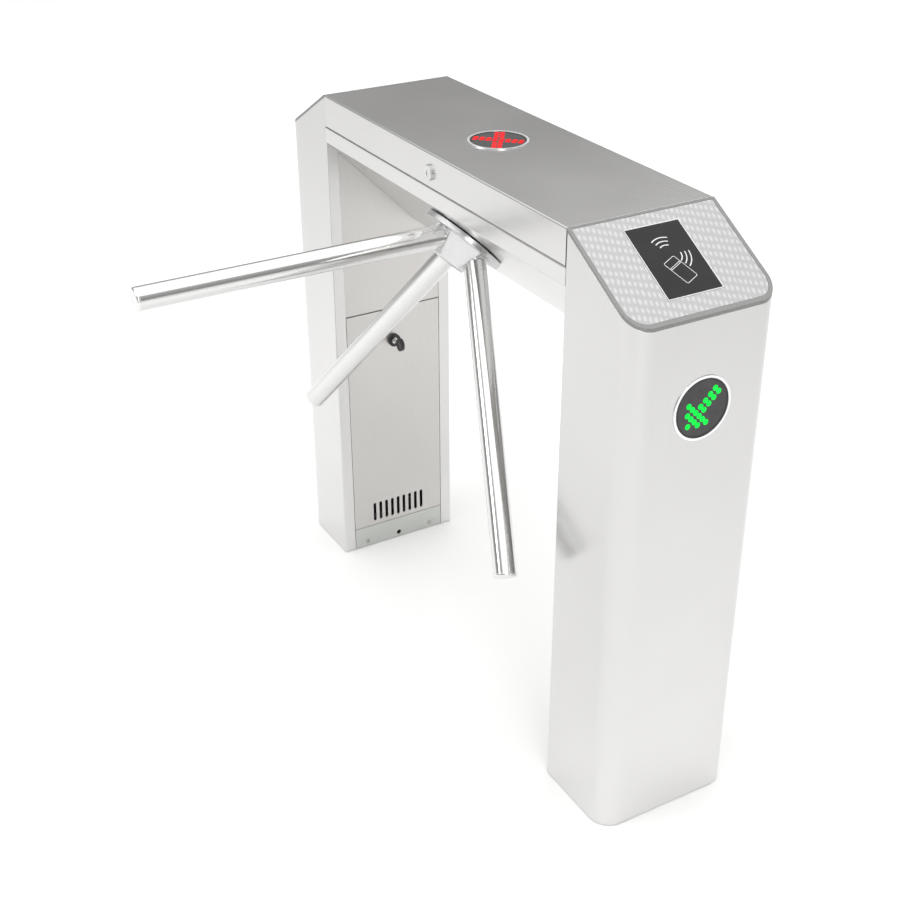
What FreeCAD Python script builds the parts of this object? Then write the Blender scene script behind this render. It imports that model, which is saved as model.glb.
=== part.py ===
import FreeCAD, Part
import math
import os

import Sketcher

Vector = FreeCAD.Vector
Rotation = FreeCAD.Rotation
Placement = FreeCAD.Placement

# Counter turnstile: two sheet-steel legs joined by a box beam, with a three-armed
# barrier on a shaft tilted at 45 degrees.  X runs along the cabinet, the arms stand
# out towards -Y, Z is up and the origin is on the floor under the cabinet's middle.

doc = FreeCAD.newDocument("CounterTurnstile")
sheet = doc.addObject("Spreadsheet::Sheet", "Sizes")
rows = []
nodes = []


class Size:
    """A length or angle that keeps its number beside its spreadsheet formula."""

    def __init__(self, value, formula):
        self.value = value
        self.formula = formula

    def __add__(self, other):
        other = as_size(other)
        return Size(self.value + other.value, f"({self.formula} + {other.formula})")

    def __sub__(self, other):
        other = as_size(other)
        return Size(self.value - other.value, f"({self.formula} - {other.formula})")

    def __mul__(self, other):
        other = as_size(other)
        return Size(self.value * other.value, f"({self.formula} * {other.formula})")

    def __truediv__(self, other):
        other = as_size(other)
        return Size(self.value / other.value, f"({self.formula} / {other.formula})")

    def __neg__(self):
        return Size(-self.value, f"(0 - {self.formula})")

    def __rmul__(self, other):
        return as_size(other) * self

    def __radd__(self, other):
        return as_size(other) + self

    def __rsub__(self, other):
        return as_size(other) - self


def as_size(x):
    """Wraps a plain number; a Size passes through."""
    return x if isinstance(x, Size) else Size(float(x), f"({float(x):.9g})")


def size(alias, value, note):
    """Writes one driving dimension as a row of the sheet and returns it as a Size."""
    rows.append(alias)
    row = len(rows)
    sheet.set(f"A{row}", alias)
    sheet.set(f"B{row}", str(value))
    sheet.set(f"C{row}", note)
    sheet.setAlias(f"B{row}", alias)
    return Size(float(value), f"Sizes.{alias}")


def sine(angle):
    return Size(math.sin(math.radians(angle.value)), f"sin({angle.formula} * 1 deg)")


def cosine(angle):
    return Size(math.cos(math.radians(angle.value)), f"cos({angle.formula} * 1 deg)")


def tangent(angle):
    return Size(math.tan(math.radians(angle.value)), f"tan({angle.formula} * 1 deg)")


# ---------------------------------------------------------------- cabinet sizes
body_length = size("body_length", 1110, "cabinet, outside length")
body_width = size("body_width", 256, "cabinet, outside width")
body_height = size("body_height", 980, "floor to lid")
leg_length = size("leg_length", 164, "one leg along the cabinet")
corner_radius = size("corner_radius", 36, "outer upright corners of a leg")
steel = size("steel", 1.5, "stainless sheet")
bend_radius = size("bend_radius", 2.5, "outside of a folded edge")
slope_angle = size("slope_angle", 30, "reader slope below level")
lid_skirt = size("lid_skirt", 56, "depth of the lid's sides")
lid_gap = size("lid_gap", 1.5, "seam round the lid")
fascia_depth = size("fascia_depth", 86, "lid top down to the fold")
slant_run = size("slant_run", 187, "width of the 45 degree underside")
stiff_flange = size("stiff_flange", 18, "inner flanges of the beam sheets")
return_flange = size("return_flange", 24, "leg's inward folded edges")
base_plate = size("base_plate", 5, "leg foot plate thickness")
anchor_across = size("anchor_across", 184, "anchor holes across the cabinet")
anchor_along = size("anchor_along", 96, "anchor holes along one leg")
anchor_hole = size("anchor_hole", 13, "anchor hole diameter")
cable_hole = size("cable_hole", 60, "cable entry diameter")
wiring_hole = size("wiring_hole", 50, "hole between a leg and the beam")
# ---------------------------------------------------------------- doors and locks
door_top = size("door_top", 537, "top edge of the service door")
door_bottom = size("door_bottom", 48, "bottom edge of the service door")
seam = size("seam", 1, "gap round a door or plate")
door_rib = size("door_rib", 12, "door's folded sides")
door_lock_height = size("door_lock_height", 468, "lock centre above the floor")
slot_count = size("slot_count", 9, "vent slots in a door")
slot_pitch = size("slot_pitch", 13.9, "vent slots, centre to centre")
slot_width = size("slot_width", 6.5, "vent slot width")
slot_length = size("slot_length", 43, "vent slot height")
slot_middle = size("slot_middle", 79, "vent slots above the floor")
kick_screw_reach = size("kick_screw_reach", 75, "kick plate screw from the middle")
kick_screw_height = size("kick_screw_height", 11, "kick plate screws above the floor")
kick_hole = size("kick_hole", 10, "middle hole of the kick plate")
lock_face = size("lock_face", 26, "lock collar diameter")
lock_barrel = size("lock_barrel", 19, "lock barrel diameter")
lock_plug = size("lock_plug", 12, "turning plug diameter")
lock_proud = size("lock_proud", 5, "lock collar height")
lock_depth = size("lock_depth", 14, "lock barrel behind the sheet")
running_fit = size("running_fit", 0.05, "radial clearance of a turning fit")
door_cam = size("door_cam", 84, "door cam from its centre")
lid_cam = size("lid_cam", 23.5, "lid cam from its centre")
cam_width = size("cam_width", 15, "width of a cam")
cam_steel = size("cam_steel", 2.5, "thickness of a cam")
lid_lock_drop = size("lid_lock_drop", 32.5, "lid top down to its lock")
keeper_steel = size("keeper_steel", 3, "keeper over the lid lock's cam")
kick_screw = size("kick_screw", 4.5, "kick plate screw diameter")
hook_reach = size("hook_reach", 70, "door hook from the middle")
hook_gap = size("hook_gap", 1, "kick plate to door hook")
key_stem = size("key_stem", 16, "key bow starts this far out of the door")
key_bow_length = size("key_bow_length", 24, "key bow along the key")
key_bow_height = size("key_bow_height", 26, "key bow height")
key_bow_width = size("key_bow_width", 8, "key bow thickness")
# ---------------------------------------------------------------- lid hinge
hinge_length = size("hinge_length", 700, "piano hinge length")
hinge_knuckles = size("hinge_knuckles", 7, "knuckles, an odd number")
knuckle_gap = size("knuckle_gap", 0.6, "gap between knuckles")
hinge_stand = size("hinge_stand", 0.3, "sheet to knuckle")
hinge_knuckle = size("hinge_knuckle", 3, "knuckle radius")
hinge_pin = size("hinge_pin", 1.5, "hinge pin radius")
hinge_leaf = size("hinge_leaf", 1.2, "leaf thickness")
hinge_leaf_width = size("hinge_leaf_width", 24, "leaf height")
# ---------------------------------------------------------------- slopes and lights
trim_band = size("trim_band", 8, "grey frame at a reader plate's foot")
trim_side = size("trim_side", 5.5, "grey frame at its sides")
trim_head = size("trim_head", 3, "grey frame at its head")
trim_depth = size("trim_depth", 4, "thickness of that frame")
plate_sunk = size("plate_sunk", 0.6, "reader plate below its frame")
window_start = size("window_start", 23.5, "slope top to reader window")
window_length = size("window_length", 129, "reader window down the slope")
window_width = size("window_width", 96, "reader window across")
reader_depth = size("reader_depth", 22, "card reader module")
light_drop = size("light_drop", 238, "lid top down to an end indicator")
bezel_radius = size("bezel_radius", 50.5, "indicator bezel, outside")
lens_radius = size("lens_radius", 46.5, "indicator lens")
bezel_proud = size("bezel_proud", 1.5, "bezel height over the sheet")
lens_depth = size("lens_depth", 3, "indicator lens thickness")
# ---------------------------------------------------------------- barrier
tilt = size("tilt", 45, "shaft below level, and arms from the shaft")
apex_back = size("apex_back", 15, "arm centre lines meet behind the underside")
apex_drop = size("apex_drop", 95.5, "fold down the underside to the shaft")
hub_gap = size("hub_gap", 2, "underside to hub")
hub_rim = size("hub_rim", 74, "hub flange radius")
hub_flange = size("hub_flange", 9, "hub flange thickness")
hub_depth = size("hub_depth", 50, "hub from its back to its nose")
head_flat = size("head_flat", 53, "hub flats from the shaft, at its back")
head_face = size("head_face", 56, "hub arm faces from the shaft, at its back")
head_draft = size("head_draft", 29, "taper of the hub, degrees")
head_round = size("head_round", 4, "rounding of the hub's edges")
boss_wall = size("boss_wall", 3.5, "arm boss outside the tube")
boss_length = size("boss_length", 26, "arm boss length")
hub_mouth = size("hub_mouth", 52, "radius of the cut-out in the underside")
arm_radius = size("arm_radius", 19, "arm tube radius")
arm_wall = size("arm_wall", 1.5, "arm tube wall")
arm_seat = size("arm_seat", 58, "arm seat from where the arms meet")
arm_tip = size("arm_tip", 580, "arm tip from where the arms meet")
spigot_length = size("spigot_length", 40, "spigot inside an arm")
set_screw_radius = size("set_screw_radius", 2.5, "arm set screws")
set_screw_length = size("set_screw_length", 7, "arm set screw length")
tip_plug = size("tip_plug", 6, "arm tip plug outside the tube")
tip_round = size("tip_round", 4, "rounding of the tip plug")
fit_gap = size("fit_gap", 0.1, "sliding clearance on a radius")
shaft_radius = size("shaft_radius", 12.5, "main shaft")
shaft_flange = size("shaft_flange", 32, "shaft flange radius")
flange_thick = size("flange_thick", 6, "shaft flange thickness")
recess_depth = size("recess_depth", 10, "pocket in the head for the shaft flange")
screw_radius = size("screw_radius", 3, "shaft flange screws")
screw_bite = size("screw_bite", 8, "shaft flange screws in the head")
shaft_top = size("shaft_top", 112, "inner end of the shaft")
frame_plate = size("frame_plate", 8, "mechanism plate thickness")
frame_back = size("frame_back", 8, "mechanism plate behind the underside")
frame_half = size("frame_half", 136, "half the mechanism plate's length")
frame_up = size("frame_up", 70, "mechanism plate above the shaft")
frame_down = size("frame_down", 120, "mechanism plate below the shaft")
web_rise = size("web_rise", 130, "web height at the beam's back")
bearing_radius = size("bearing_radius", 26, "bearing outside radius")
bearing_width = size("bearing_width", 15, "bearing width")
housing_radius = size("housing_radius", 32, "bearing housing radius")
housing_rim = size("housing_rim", 54, "bearing housing flange radius")
housing_length = size("housing_length", 80, "bearing housing length")
gear_module = size("gear_module", 2, "damper gear module")
gear_teeth = size("gear_teeth", 54, "teeth on the shaft gear")
pinion_teeth = size("pinion_teeth", 18, "teeth on the damper pinion")
gear_width = size("gear_width", 8, "gear face width")
gear_height = size("gear_height", 84, "gears above where the arms meet")
backlash = size("backlash", 0.4, "thinning of each tooth for play")
damper_radius = size("damper_radius", 15, "rotary damper body")
pinion_bore = size("pinion_bore", 5, "damper stem radius")
pinion_stem = size("pinion_stem", 14, "damper stem below the pinion")
wheel_radius = size("wheel_radius", 55, "lock wheel")
wheel_height = size("wheel_height", 98, "lock wheel above where the arms meet")
wheel_width = size("wheel_width", 8, "lock wheel thickness")
notch_count = size("notch_count", 12, "notches round the lock wheel")
notch_width = size("notch_width", 12, "width of a notch")
notch_depth = size("notch_depth", 6.5, "depth of a notch")
pawl_reach = size("pawl_reach", 45, "pawl pivot to tooth")
pawl_swing = size("pawl_swing", 10, "pawl swing, degrees")
pawl_bar = size("pawl_bar", 8, "pawl bar width")
pawl_eye = size("pawl_eye", 7, "pawl eye radius")
pawl_stud = size("pawl_stud", 4, "pawl stud radius")
pawl_lift = size("pawl_lift", 1.5, "wheel rim to an engaged pawl's bar")
tooth_width = size("tooth_width", 8, "pawl tooth width")
plunger_rest = size("plunger_rest", 13.4, "plunger tip from the pawl pivot, along X")
plunger_radius = size("plunger_radius", 4, "solenoid plunger")
plunger_length = size("plunger_length", 46, "solenoid plunger length")
solenoid_gap = size("solenoid_gap", 10, "plunger showing at rest")
solenoid_length = size("solenoid_length", 34, "solenoid length")
solenoid_half = size("solenoid_half", 13, "half a solenoid's side")
post_half = size("post_half", 11, "half a solenoid post's side")
# ---------------------------------------------------------------- electronics
board_near = size("board_near", 170, "boards from the middle of the beam")
board_length = size("board_length", 140, "control board length")
board_rise = size("board_rise", 90, "control board height")
board_clear = size("board_clear", 38, "control board above the beam's floor")
board_edge = size("board_edge", 8, "board edge to its fixings")
standoff = size("standoff", 8, "board to the beam's back")
supply_length = size("supply_length", 150, "power supply length")
supply_width = size("supply_width", 62, "power supply width")
supply_height = size("supply_height", 50, "power supply height")
doc.recompute()

half_length = body_length / 2
half_width = body_width / 2
inner_x = half_length - leg_length
panel_half = half_width - return_flange
fold_z = body_height - fascia_depth
floor_z = fold_z - slant_run
slant_y = slant_run - half_width
skirt_z = body_height - lid_skirt
rim_z = skirt_z - lid_gap
root_half = Size(math.sqrt(0.5), "sqrt(0.5)")
slope_cos = cosine(slope_angle)
slope_tan = tangent(slope_angle)
lid_lock_z = body_height - lid_lock_drop
light_height = body_height - light_drop
board_low = floor_z + board_clear
light_hole = lens_radius + steel + fit_gap
frame_inner = frame_back + frame_plate + steel - apex_back
pinion_spot = gear_module * (gear_teeth + pinion_teeth) / 2
pivot_u = wheel_radius + pawl_lift + pawl_bar / 2
solenoid_near = pivot_u + plunger_rest + solenoid_gap
solenoid_z = wheel_height + wheel_width / 2
supply_back = half_width - 3 * steel


# ---------------------------------------------------------------- helpers
def bind(obj, prop, amount):
    """Ties one property of an object to a size."""
    amount = as_size(amount)
    if "." not in prop:
        setattr(obj, prop, amount.value)
    obj.setExpression(prop, amount.formula)


def place(obj, x=0, y=0, z=0, axis=None, angle=0):
    """Puts an object at a bound position, turned by a fixed angle."""
    turn = Rotation(axis, angle) if axis else Rotation()
    where = [as_size(c) for c in (x, y, z)]
    obj.Placement = Placement(Vector(*[c.value for c in where]), turn)
    for letter, c in zip("xyz", where):
        bind(obj, f"Placement.Base.{letter}", c)
    return obj


def box(name, low, high):
    """A block between two corners."""
    low = [as_size(c) for c in low]
    high = [as_size(c) for c in high]
    block = doc.addObject("Part::Box", name)
    for prop, a, b in zip(("Length", "Width", "Height"), low, high):
        bind(block, prop, b - a)
    return place(block, *low)


ALONG = {"x": (Vector(0, 1, 0), 90), "y": (Vector(1, 0, 0), -90), "z": (None, 0)}


def rod(name, radius, start, length, along="z"):
    """A cylinder from a start point along +X, +Y or +Z."""
    bar = doc.addObject("Part::Cylinder", name)
    bind(bar, "Radius", radius)
    bind(bar, "Height", length)
    return place(bar, *start, *ALONG[along])


def cut(name, base, tools):
    """Base with the tools taken away."""
    tools = list(tools)
    tool = tools[0] if len(tools) == 1 else fuse(name + "_tools", tools)
    result = doc.addObject("Part::Cut", name)
    result.Base = base
    result.Tool = tool
    return result


def fuse(name, shapes):
    result = doc.addObject("Part::MultiFuse", name)
    result.Shapes = list(shapes)
    return result


def common(name, a, b):
    result = doc.addObject("Part::Common", name)
    result.Base = a
    result.Tool = b
    return result


def group(name, shapes):
    """Like pieces kept as separate solids in one node."""
    result = doc.addObject("Part::Compound", name)
    result.Links = list(shapes)
    return result


def origin_plane(body, role):
    return [p for p in body.Origin.OriginFeatures if p.Role == role][0]


def outline(body, name, role, points):
    """A closed straight-sided sketch whose corners are all bound to sizes."""
    sketch = body.newObject("Sketcher::SketchObject", name)
    sketch.AttachmentSupport = [(origin_plane(body, role), "")]
    sketch.MapMode = "FlatFace"
    corners = [(as_size(x), as_size(y)) for x, y in points]
    count = len(corners)
    flat = [Vector(x.value, y.value, 0) for x, y in corners]
    for i in range(count):
        sketch.addGeometry(Part.LineSegment(flat[i], flat[(i + 1) % count]), False)
    for i in range(count):
        sketch.addConstraint(Sketcher.Constraint("Coincident", i, 2, (i + 1) % count, 1))
    for i, (x, y) in enumerate(corners):
        for kind, c in (("DistanceX", x), ("DistanceY", y)):
            k = sketch.addConstraint(Sketcher.Constraint(kind, -1, 1, i, 1, c.value))
            sketch.setExpression(f"Constraints[{k}]", c.formula)
    return sketch


def rectangle(body, name, role, low, high):
    (a, b), (c, d) = low, high
    return outline(body, name, role, [(a, b), (c, b), (c, d), (a, d)])


def new_body(name):
    return doc.addObject("PartDesign::Body", name)


def pad(body, sketch, length, both_ways=False):
    feature = body.newObject("PartDesign::Pad", sketch.Name + "_pad")
    feature.Profile = sketch
    if both_ways:
        feature.SideType = "Symmetric"
    bind(feature, "Length", length)
    return feature


def pocket(body, sketch, length, forward=False, both_ways=False):
    """A cut behind its sketch plane, in front of it, or both ways."""
    feature = body.newObject("PartDesign::Pocket", sketch.Name + "_pocket")
    feature.Profile = sketch
    if both_ways:
        feature.SideType = "Symmetric"
    feature.Reversed = forward
    bind(feature, "Length", length)
    return feature


def round_edges(body, radius, wanted):
    """Rounds the edges of the body's latest feature that a test picks out."""
    doc.recompute()
    last = body.Tip
    names = [f"Edge{i + 1}" for i, e in enumerate(last.Shape.Edges) if wanted(e)]
    fillet = body.newObject("PartDesign::Fillet", body.Name + f"_round{len(body.Group)}")
    fillet.Base = (last, names)
    bind(fillet, "Radius", radius)
    return fillet


def upright_at(x):
    """Picks upright edges that stand at a given X."""
    return lambda e: e.BoundBox.ZLength > 1 and e.BoundBox.XLength < 0.01 \
        and e.BoundBox.YLength < 0.01 and abs(e.BoundBox.XMin - x.value) < 0.01


def along_x(*places):
    """Picks edges that run along X through the given (Y, Z) places."""
    spots = [(as_size(y).value, as_size(z).value) for y, z in places]
    return lambda e: e.BoundBox.XLength > 1 and any(
        abs(e.BoundBox.YMin - y) < 0.01 and abs(e.BoundBox.YMax - y) < 0.01
        and abs(e.BoundBox.ZMin - z) < 0.01 and abs(e.BoundBox.ZMax - z) < 0.01
        for y, z in spots)


def node(name, obj):
    """Labels a finished sub-part; the label names its file."""
    obj.Label = name
    nodes.append(obj)
    return obj


def end_node(name, obj, end):
    """A sub-part of one end: the exit end is the entry end turned half round."""
    if end == "exit":
        place(obj, 0, 0, 0, Vector(0, 0, 1), 180)
    return node(name, obj)


def in_shaft_frame(name, pieces):
    """Carries pieces from the shaft's own frame (Z inward along the shaft, X along
    the cabinet, origin where the arms meet) into the cabinet."""
    return place(group(name, pieces), 0, *in_cabinet(0, 0), Vector(1, 0, 0), -tilt.value)


def in_cabinet(down, inward):
    """Y and Z of a spot given down and inward from where the arms meet."""
    y = apex_drop * root_half - half_width + apex_back * root_half
    z = fold_z - apex_drop * root_half + apex_back * root_half
    return y + (down + inward) * root_half, z + (inward - down) * root_half


def spun(name, pieces, angle):
    """Turns pieces about the shaft."""
    return place(group(name, pieces), 0, 0, 0, Vector(0, 0, 1), angle)


def turned(obj, end):
    """Turns a piece half round for the exit end."""
    if end == "exit":
        return place(group(obj.Name + "_exit", [obj]), 0, 0, 0, Vector(0, 0, 1), 180)
    return obj


def end_node(name, obj, end):
    return node(name, turned(obj, end))


# ---------------------------------------------------------------- legs
def slope_drop(depth):
    """Vertical drop that a thickness square to the slope needs."""
    return as_size(depth) / slope_cos


def slope_slab(name, top, bottom):
    """A slab under the slope, between two depths square to it, as wide as the leg."""
    body = new_body(name)
    fall = leg_length * slope_tan
    high = body_height - slope_drop(top)
    low = body_height - slope_drop(bottom)
    sketch = outline(body, name + "_side", "XZ_Plane", [
        (inner_x, high), (half_length, high - fall),
        (half_length, low - fall), (inner_x, low)])
    pad(body, sketch, body_width, both_ways=True)
    return body


def leg_shell(end):
    """Outer skin of a leg: one folded sheet, rounded outside and open inside."""
    body = new_body(f"shell_{end}")
    pad(body, rectangle(body, f"shell_{end}_plan", "XY_Plane",
                        (inner_x, -half_width), (half_length, half_width)), body_height)
    pocket(body, rectangle(body, f"shell_{end}_hollow", "XY_Plane",
                           (inner_x + steel, steel - half_width),
                           (half_length - steel, half_width - steel)),
           body_height, forward=True)
    round_edges(body, corner_radius - steel, upright_at(half_length - steel))
    round_edges(body, corner_radius, upright_at(half_length))
    pocket(body, rectangle(body, f"shell_{end}_doorway", "YZ_Plane",
                           (-panel_half, 0), (panel_half, body_height)),
           inner_x + steel, forward=True)
    cut_z = body_height - slope_drop(trim_depth)
    pocket(body, outline(body, f"shell_{end}_slope", "XZ_Plane", [
        (inner_x, cut_z), (half_length, cut_z - leg_length * slope_tan),
        (half_length, body_height), (inner_x, body_height)]), body_width, both_ways=True)
    round_edges(body, bend_radius, lambda e: upright_at(inner_x)(e)
                and abs(abs(e.BoundBox.YMin) - half_width.value) < 0.01)
    hole = rod(f"shell_{end}_light_hole", light_hole,
               (half_length - corner_radius, 0, light_height), 2 * corner_radius, "x")
    end_node(f"leg_shell_{end}", cut(f"shell_{end}_cut", body, [hole]), end)


def leg_base(end):
    """Foot plate with four anchor holes and a cable entry."""
    body = new_body(f"base_{end}")
    far_x = half_length - steel
    pad(body, rectangle(body, f"base_{end}_plan", "XY_Plane",
                        (inner_x + steel, steel - half_width),
                        (far_x, half_width - steel)), base_plate)
    round_edges(body, corner_radius - steel, upright_at(far_x))
    middle = half_length - leg_length / 2
    holes = [rod(f"base_{end}_cable", cable_hole / 2, (middle, 0, 0), base_plate)]
    for along in (-1, 1):
        for across in (-1, 1):
            spot = (middle + along * anchor_along / 2, across * anchor_across / 2, 0)
            holes.append(rod(f"base_{end}_anchor", anchor_hole / 2, spot, base_plate))
    end_node(f"leg_base_{end}", cut(f"base_{end}_cut", body, holes), end)


def leg_panel(end):
    """Fixed inner panel above the door, behind the leg's folded edges."""
    face = inner_x + steel
    top = body_height - slope_drop(trim_depth) - 3 * steel
    low = door_top + seam
    skin = box(f"panel_{end}_skin", (face, steel - half_width, low),
               (face + steel, half_width - steel, top))
    lip = box(f"panel_{end}_lip", (face, seam - panel_half, low),
              (face + door_rib, panel_half - seam, low + steel))
    hole = rod(f"panel_{end}_wiring", wiring_hole / 2,
               (inner_x, 0, fold_z - wiring_hole), leg_length, "x")
    end_node(f"leg_panel_{end}",
             cut(f"panel_{end}_cut", fuse(f"panel_{end}_fold", [skin, lip]), [hole]), end)


def door_slots(end):
    """Round-ended vent slots in a row along the door's foot."""
    tools = []
    straight = (slot_length - slot_width) / 2
    first = slot_pitch * (slot_count - 1) / -2
    for i in range(int(slot_count.value)):
        y = first + i * slot_pitch
        tools.append(box(f"door_{end}_slot",
                         (inner_x - steel, y - slot_width / 2, slot_middle - straight),
                         (inner_x + 2 * steel, y + slot_width / 2, slot_middle + straight)))
        for side in (-1, 1):
            tools.append(rod(f"door_{end}_slot_end", slot_width / 2,
                             (inner_x - steel, y, slot_middle + side * straight),
                             3 * steel, "x"))
    return tools


def leg_door(end):
    """Tilt-out service door: skin, folded sides and two hooks behind the kick plate."""
    edge = panel_half - seam
    back = inner_x + steel
    pieces = [box(f"door_{end}_skin", (inner_x, -edge, door_bottom),
                  (back, edge, door_top))]
    for low_y in (-edge, edge - steel):
        pieces.append(box(f"door_{end}_rib", (inner_x, low_y, door_bottom + door_rib),
                          (inner_x + door_rib, low_y + steel, door_top - door_rib)))
    for side in (-1, 1):
        y = side * hook_reach
        pieces.append(box(f"door_{end}_hook_root", (back, y - door_rib, door_bottom),
                          (back + 2 * steel, y + door_rib, door_bottom + door_rib)))
        pieces.append(box(f"door_{end}_hook", (back + hook_gap, y - door_rib,
                                               door_bottom - 2 * door_rib),
                          (back + 2 * steel, y + door_rib, door_bottom + door_rib)))
    tools = [rod(f"door_{end}_lock_hole", lock_barrel / 2 + fit_gap,
                 (inner_x - steel, 0, door_lock_height), 3 * steel, "x")]
    end_node(f"leg_door_{end}", cut(f"door_{end}_cut", fuse(f"door_{end}_fold", pieces),
                                    tools + door_slots(end)), end)


def kick_screw_piece(name, y):
    """Slotted pan-head screw, head out towards -X."""
    head_high = kick_screw / 3
    shank = rod(name + "_shank", kick_screw / 2, (inner_x, y, kick_screw_height),
                4 * steel, "x")
    head = rod(name + "_head", kick_screw, (inner_x - head_high, y, kick_screw_height),
               head_high, "x")
    drive = box(name + "_drive", (inner_x - kick_screw, y - kick_screw / 8,
                                  kick_screw_height - kick_screw),
                (inner_x - head_high / 2, y + kick_screw / 8,
                 kick_screw_height + kick_screw))
    return cut(name, fuse(name + "_blank", [shank, head]), [drive])


def kick_plates():
    """Plates under the doors, with two screw holes and a middle hole each."""
    plates = []
    screws = []
    edge = panel_half - seam
    for end in ("entry", "exit"):
        plate = box(f"kick_{end}", (inner_x, -edge, 0), (inner_x + steel, edge,
                                                         door_bottom - seam))
        holes = [rod(f"kick_{end}_middle", kick_hole / 2,
                     (inner_x - steel, 0, kick_screw_height), 3 * steel, "x")]
        for side in (-1, 1):
            y = side * kick_screw_reach
            holes.append(rod(f"kick_{end}_hole", kick_screw / 2 + fit_gap,
                             (inner_x - steel, y, kick_screw_height), 3 * steel, "x"))
            screws.append(turned(kick_screw_piece(f"kick_{end}_screw", y), end))
        plates.append(turned(cut(f"kick_{end}_cut", plate, holes), end))
    node("kick_plates", group("kick_plate_pair", plates))
    node("kick_plate_screws", group("kick_screw_set", screws))


# ---------------------------------------------------------------- locks
def cam_lock(name, cam_length, down=False):
    """A cam lock along +X with its face towards -X and its sheet's outer face at
    X = 0: the fixed collar and barrel, and the turning plug with its cam, which
    lies along +Y or hangs down."""
    rear = lock_depth + steel
    collar = rod(name + "_collar", lock_face / 2, (-lock_proud, 0, 0), lock_proud, "x")
    barrel = rod(name + "_barrel", lock_barrel / 2, (0, 0, 0), rear, "x")
    bore = rod(name + "_bore", lock_plug / 2 + running_fit, (-lock_proud, 0, 0),
               rear + lock_proud, "x")
    body = cut(name + "_body", fuse(name + "_blank", [collar, barrel]), [bore])
    core = rod(name + "_core", lock_plug / 2, (-lock_proud, 0, 0),
               rear + lock_proud + seam, "x")
    near = rear + seam / 2
    half = cam_width / 2
    reach = cam_length - half
    if down:
        tail = box(name + "_tail", (near, -half, -reach), (near + cam_steel, half, half))
        tip = rod(name + "_tip", half, (near, 0, -reach), cam_steel, "x")
    else:
        tail = box(name + "_tail", (near, -half, -half), (near + cam_steel, reach, half))
        tip = rod(name + "_tip", half, (near, reach, 0), cam_steel, "x")
    keyway = box(name + "_keyway", (-2 * lock_proud, -seam, -lock_plug / 3),
                 (lock_depth / 2, seam, lock_plug / 3))
    return body, cut(name + "_plug", fuse(name + "_turning", [core, tail, tip]), [keyway])


def door_locks(end):
    """Lock at the head of a door; its cam lies level when the lock is open."""
    body, plug = cam_lock(f"door_lock_{end}", door_cam)
    for name, piece in ((f"door_lock_barrel_{end}", body), (f"door_lock_cam_{end}", plug)):
        if end == "exit":
            place(piece, -inner_x, 0, door_lock_height, Vector(0, 0, 1), 180)
        else:
            place(piece, inner_x, 0, door_lock_height)
        node(name, piece)


def door_key():
    """Key left in the exit door's lock: a steel blade with a moulded shield bow."""
    play = 2 * fit_gap
    blade = box("key_blade", (-key_stem, -seam, play - lock_plug / 3),
                (lock_depth / 2 - seam, seam, lock_plug / 3 - play))
    bow = new_body("key_bow")
    half = key_bow_height / 2
    neck = lock_proud - key_stem
    far = -key_stem - key_bow_length
    shoulder = -key_stem - key_bow_length * 3 / 4
    pad(bow, outline(bow, "key_bow_side", "XZ_Plane", [
        (neck, -half / 2), (neck, half / 2), (-key_stem, half), (shoulder, half),
        (far, half / 2), (far, -half / 2), (shoulder, -half), (-key_stem, -half)]),
        key_bow_width, both_ways=True)
    round_edges(bow, key_bow_width / 4, lambda e: e.BoundBox.YLength < 0.01
                and abs(abs(e.BoundBox.YMin) - key_bow_width.value / 2) < 0.01)
    node("door_key", place(fuse("key_joined", [blade, bow]), -inner_x, 0,
                           door_lock_height, Vector(0, 0, 1), 180))


for end_name in ("entry", "exit"):
    leg_shell(end_name)
    leg_base(end_name)
    leg_panel(end_name)
    leg_door(end_name)
    door_locks(end_name)
kick_plates()
door_key()


# ---------------------------------------------------------------- beam and lid
def keeper():
    """Hook on the beam's front rim; its tongue lies over the lid's turned cam."""
    face = lock_depth + steel - half_width
    top = lid_lock_z + cam_width / 2 + seam
    post_x = -lid_cam - keeper_steel
    post = box("keeper_post", (post_x - keeper_steel, face - cam_steel, rim_z - steel),
               (post_x, face + 2 * cam_steel, top + keeper_steel))
    tongue = box("keeper_tongue", (post_x, face - cam_steel, top),
                 (-lock_barrel / 2 - 2 * seam, face + 2 * cam_steel, top + keeper_steel))
    return [post, tongue]


def lane_panel():
    """Fascia, 45 degree underside and bottom in one folded sheet."""
    body = new_body("lane_sheet")
    lap = steel * tangent(as_size(22.5))
    y0 = -half_width
    y1 = half_width - steel
    points = [
        (y0, rim_z), (y0, fold_z), (slant_y, floor_z), (y1, floor_z),
        (y1, floor_z + stiff_flange), (y1 - steel, floor_z + stiff_flange),
        (y1 - steel, floor_z + steel), (slant_y + lap, floor_z + steel),
        (y0 + steel, fold_z + lap), (y0 + steel, rim_z - steel),
        (y0 + stiff_flange, rim_z - steel), (y0 + stiff_flange, rim_z)]
    pad(body, outline(body, "lane_profile", "YZ_Plane", points), 2 * inner_x, both_ways=True)
    round_edges(body, bend_radius, along_x((y0, rim_z), (y0, fold_z), (slant_y, floor_z)))
    mouth = rod("hub_mouth_hole", hub_mouth, (0, 0, -2 * apex_back), 2 * apex_back)
    node("beam_lane_panel", cut("lane_cut", fuse("lane_blank", [body, *keeper()]),
                                [in_shaft_frame("hub_mouth_tool", [mouth])]))


def back_panel():
    """Flat back of the beam with a stiffening fold along its top."""
    body = new_body("back_sheet")
    y1 = half_width
    points = [(y1, floor_z), (y1, rim_z), (y1 - stiff_flange, rim_z),
              (y1 - stiff_flange, rim_z - steel), (y1 - steel, rim_z - steel),
              (y1 - steel, floor_z)]
    pad(body, outline(body, "back_profile", "YZ_Plane", points), 2 * inner_x, both_ways=True)
    node("beam_back_panel", body)


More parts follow.
